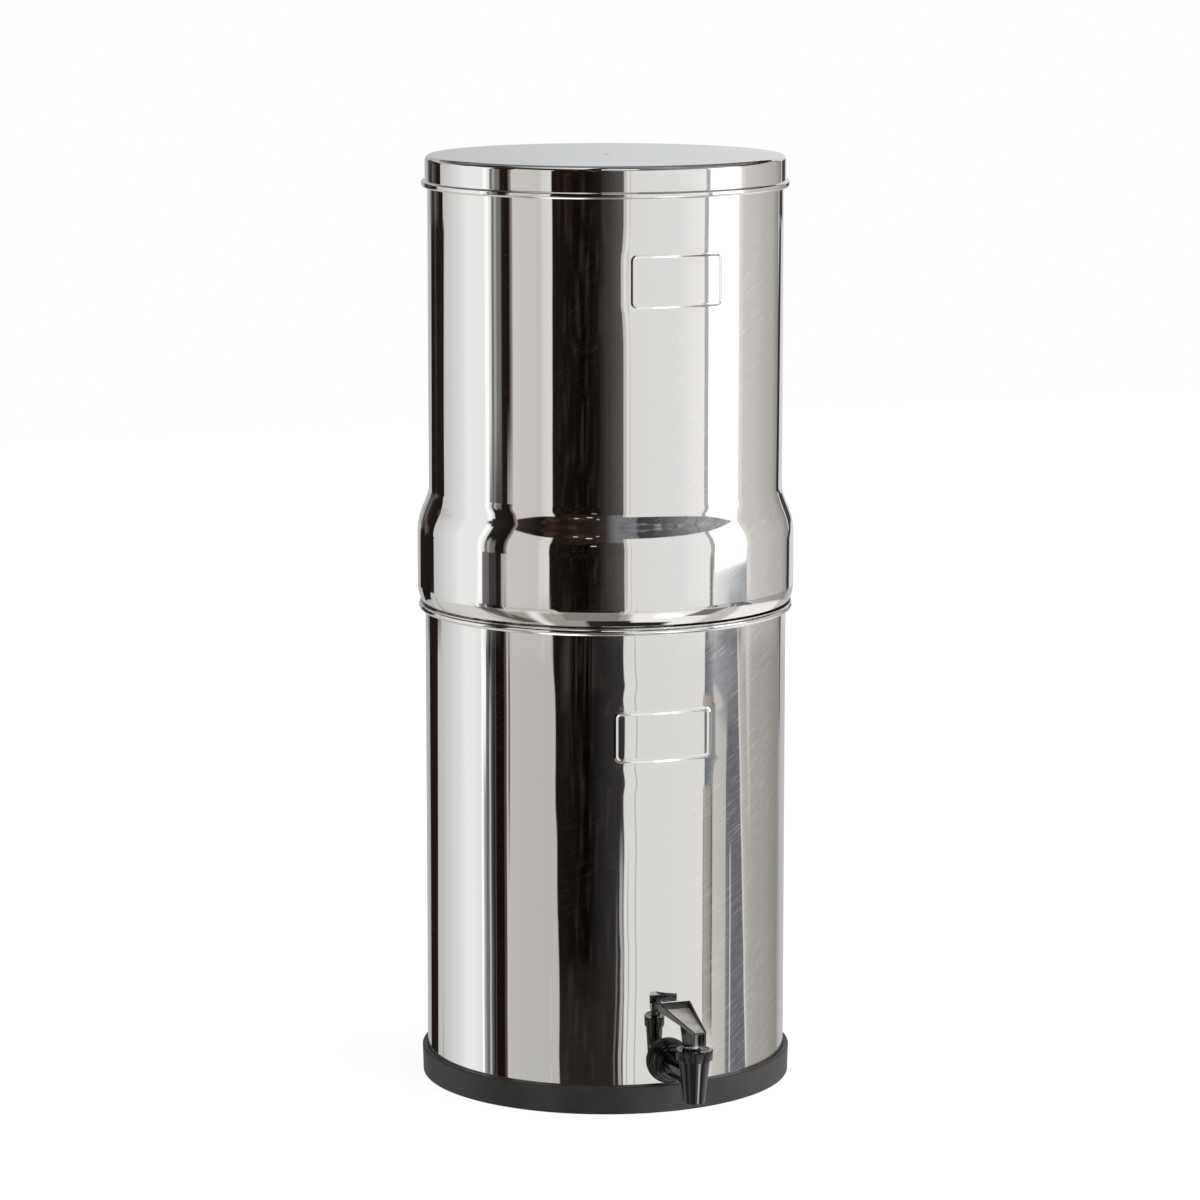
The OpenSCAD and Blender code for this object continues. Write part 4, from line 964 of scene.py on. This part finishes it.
def hangCards(name, cards, high, distance, material):
    bm = bmesh.new()
    toneLayer = bm.verts.layers.float_color.new("tone")
    for i, one in enumerate(cards):
        start, end = (tone(*one[k], level=one.get("level", 1.0) * studio["strength"]) for k in ("tone", "end"))
        bottom = max(one.get("low", -studio["pole"]), -studio["pole"])
        top = min(one.get("high", high), studio["pole"])
        streaked, patched, below = "streaks" in one, "patches" in one, top < 0
        across, up = studio["across"], studio["up"]
        if streaked or patched:
            across = studio["fineAcross"]
        if patched:
            up = studio["lowPatchUp"] if below else studio["patchUp"]
        elif top < -9 and (streaked or "wobble" in one):
            up = studio["streakUp"]
        columns = cardStops(one["from"], one["to"], one.get("edge", studio["edge"]), across)
        rows = cardStops(bottom, top, one.get("rise", studio["rise"]), up)
        lastColumn, lastRow = len(columns) - 1, len(rows) - 1
        grid = bmesh.ops.create_grid(bm, x_segments=lastColumn, y_segments=lastRow, size=1.0)["verts"]
        for v in grid:
            column, row = round((v.co.x + 1) / 2 * lastColumn), round((v.co.y + 1) / 2 * lastRow)
            across, height = columns[column], rows[row]
            share = min(max((across - one["from"]) / (one["to"] - one["from"]), 0), 1)
            cover = one.get("cover", 1.0)
            if column in (0, lastColumn) or row in (0, lastRow):
                cover = 0.0
            elif streaked:
                place = (across * 0.42, height * 0.06, 3.0)
                cover = one["streaks"] * cloudy(place, rough=0.7, gap=2.0, octaves=4, gain=1.6, lift=0.2)
            elif patched:
                place = (across * 0.3, height * 1.9, 7.0) if below else (across * 0.07, height * 0.12, i)
                patch = cloudy(place, rough=0.8, gap=2.1, octaves=5 if below else 3, gain=1.5)
                cover = one["patches"] * patch ** 1.4
            height += one.get("tilt", 0.0) * (across - one["from"]) * (height - bottom) / (top - bottom)
            across += one.get("lean", 0.0) * (height - one.get("pivot", 0.0))
            across += one.get("wobble", 0.0) * noise.noise(Vector((height * 1.3, 0.5, 0.5)))
            a, e = math.radians(across + studio["cameraAzimuth"]), math.radians(height)
            v.co = Vector((math.sin(a) * math.cos(e), -math.cos(a) * math.cos(e), math.sin(e)))
            v.co *= distance - studio["step"] * i
            v[toneLayer] = Vector((*(s + (f - s) * share for s, f in zip(start[:3], end[:3])), cover))
    hung = putInScene(name, meshFrom(bm, name))
    hung.data.materials.append(material)
    hung.visible_camera = hung.visible_diffuse = hung.visible_transmission = hung.visible_shadow = False
    return distance - studio["step"] * len(cards)


def makeCardMaterial(name, sampling):
    material, tree = bareMaterial(name)
    material.cycles.emission_sampling = sampling
    drawn = node(tree, "ShaderNodeAttribute", attribute_name="tone").outputs
    glow = node(tree, "ShaderNodeEmission", {"Color": drawn["Color"], "Strength": 1.0}).outputs[0]
    clear = node(tree, "ShaderNodeBsdfTransparent").outputs[0]
    mixed = node(tree, "ShaderNodeMixShader", {0: drawn["Alpha"], 1: clear, 2: glow}).outputs[0]
    tree.links.new(mixed, tree.nodes["Material Output"].inputs["Surface"])
    return material


def makeWorld():
    world = bpy.data.worlds.new("studio")
    bpy.context.scene.world = world
    world.use_nodes = True
    sky = world.node_tree
    path = node(sky, "ShaderNodeLightPath").outputs
    outward = node(sky, "ShaderNodeTexCoord").outputs["Generated"]
    toWindow = along(sky, "DOT_PRODUCT", outward, studio["window"])["Value"]
    soft = spread(sky, toWindow, studio["windowEdge"], 1.0, studio["plain"], studio["windowLevel"], smooth=True)
    light = node(sky, "ShaderNodeCombineXYZ", {0: soft, 1: soft, 2: soft}).outputs[0]
    lit = blendColour(sky, path["Is Glossy Ray"], light, tone(110))
    seen = maths(sky, "MAXIMUM", path["Is Camera Ray"], path["Is Transmission Ray"])
    background = sky.nodes["Background"].inputs
    sky.links.new(blendColour(sky, seen, lit, (1, 1, 1, 1)), background["Color"])
    background["Strength"].default_value = 1.0
    plainCard, lampCard = makeCardMaterial("studioCard", "NONE"), makeCardMaterial("studioLamp", "AUTO")
    reach = studio["distance"]
    for name, (cards, high) in cardTops.items():
        reach = hangCards(name, cards, high, reach, lampCard if name == "lampCards" else plainCard)


def makeFloor():
    # white to the camera with a soft shadow, and open to reflections
    settings = {"half": 4.0, "drop": 0.0002, "matt": (0.2, 0.2, 0.2, 1), "glow": 0.9, "bounce": (0.8, 0.8, 0.8, 1)}
    bm = bmesh.new()
    bmesh.ops.create_grid(bm, x_segments=8, y_segments=8, size=settings["half"])
    floor = putInScene("floor", meshFrom(bm, "floor"))
    floor.location.z = -settings["drop"]
    material, tree = bareMaterial("floorWhite")
    matt = node(tree, "ShaderNodeBsdfDiffuse", {"Color": settings["matt"]}).outputs[0]
    glow = node(tree, "ShaderNodeEmission", {"Color": (1, 1, 1, 1), "Strength": settings["glow"]}).outputs[0]
    bounce = node(tree, "ShaderNodeBsdfDiffuse", {"Color": settings["bounce"]}).outputs[0]
    clear = node(tree, "ShaderNodeBsdfTransparent").outputs[0]
    path = node(tree, "ShaderNodeLightPath").outputs
    seen = node(tree, "ShaderNodeAddShader", {0: matt, 1: glow}).outputs[0]
    lit = node(tree, "ShaderNodeMixShader", {0: path["Is Camera Ray"], 1: bounce, 2: seen}).outputs[0]
    final = node(tree, "ShaderNodeMixShader", {0: path["Is Glossy Ray"], 1: lit, 2: clear}).outputs[0]
    tree.links.new(final, tree.nodes["Material Output"].inputs["Surface"])
    floor.data.materials.append(material)


def makeCamera():
    view = {"distance": 3.6232, "height": 0.9593, "tilt": 9.185, "turn": 0.067, "lens": 141.5, "sensor": 36.0,
            "near": 0.05, "far": 50.0}
    data = bpy.data.cameras.new("camera")
    data.lens, data.sensor_width = view["lens"], view["sensor"]
    data.clip_start, data.clip_end = view["near"], view["far"]
    camera = putInScene("camera", data)
    a = math.radians(studio["cameraAzimuth"])
    camera.location = (math.sin(a) * view["distance"], -math.cos(a) * view["distance"], view["height"])
    camera.rotation_euler = (math.radians(90 - view["tilt"]), 0, a + math.radians(view["turn"]))
    bpy.context.scene.camera = camera


makeWorld()
makeFloor()
makeCamera()
bpy.context.scene.view_settings.view_transform = "Standard"
print("studio made")
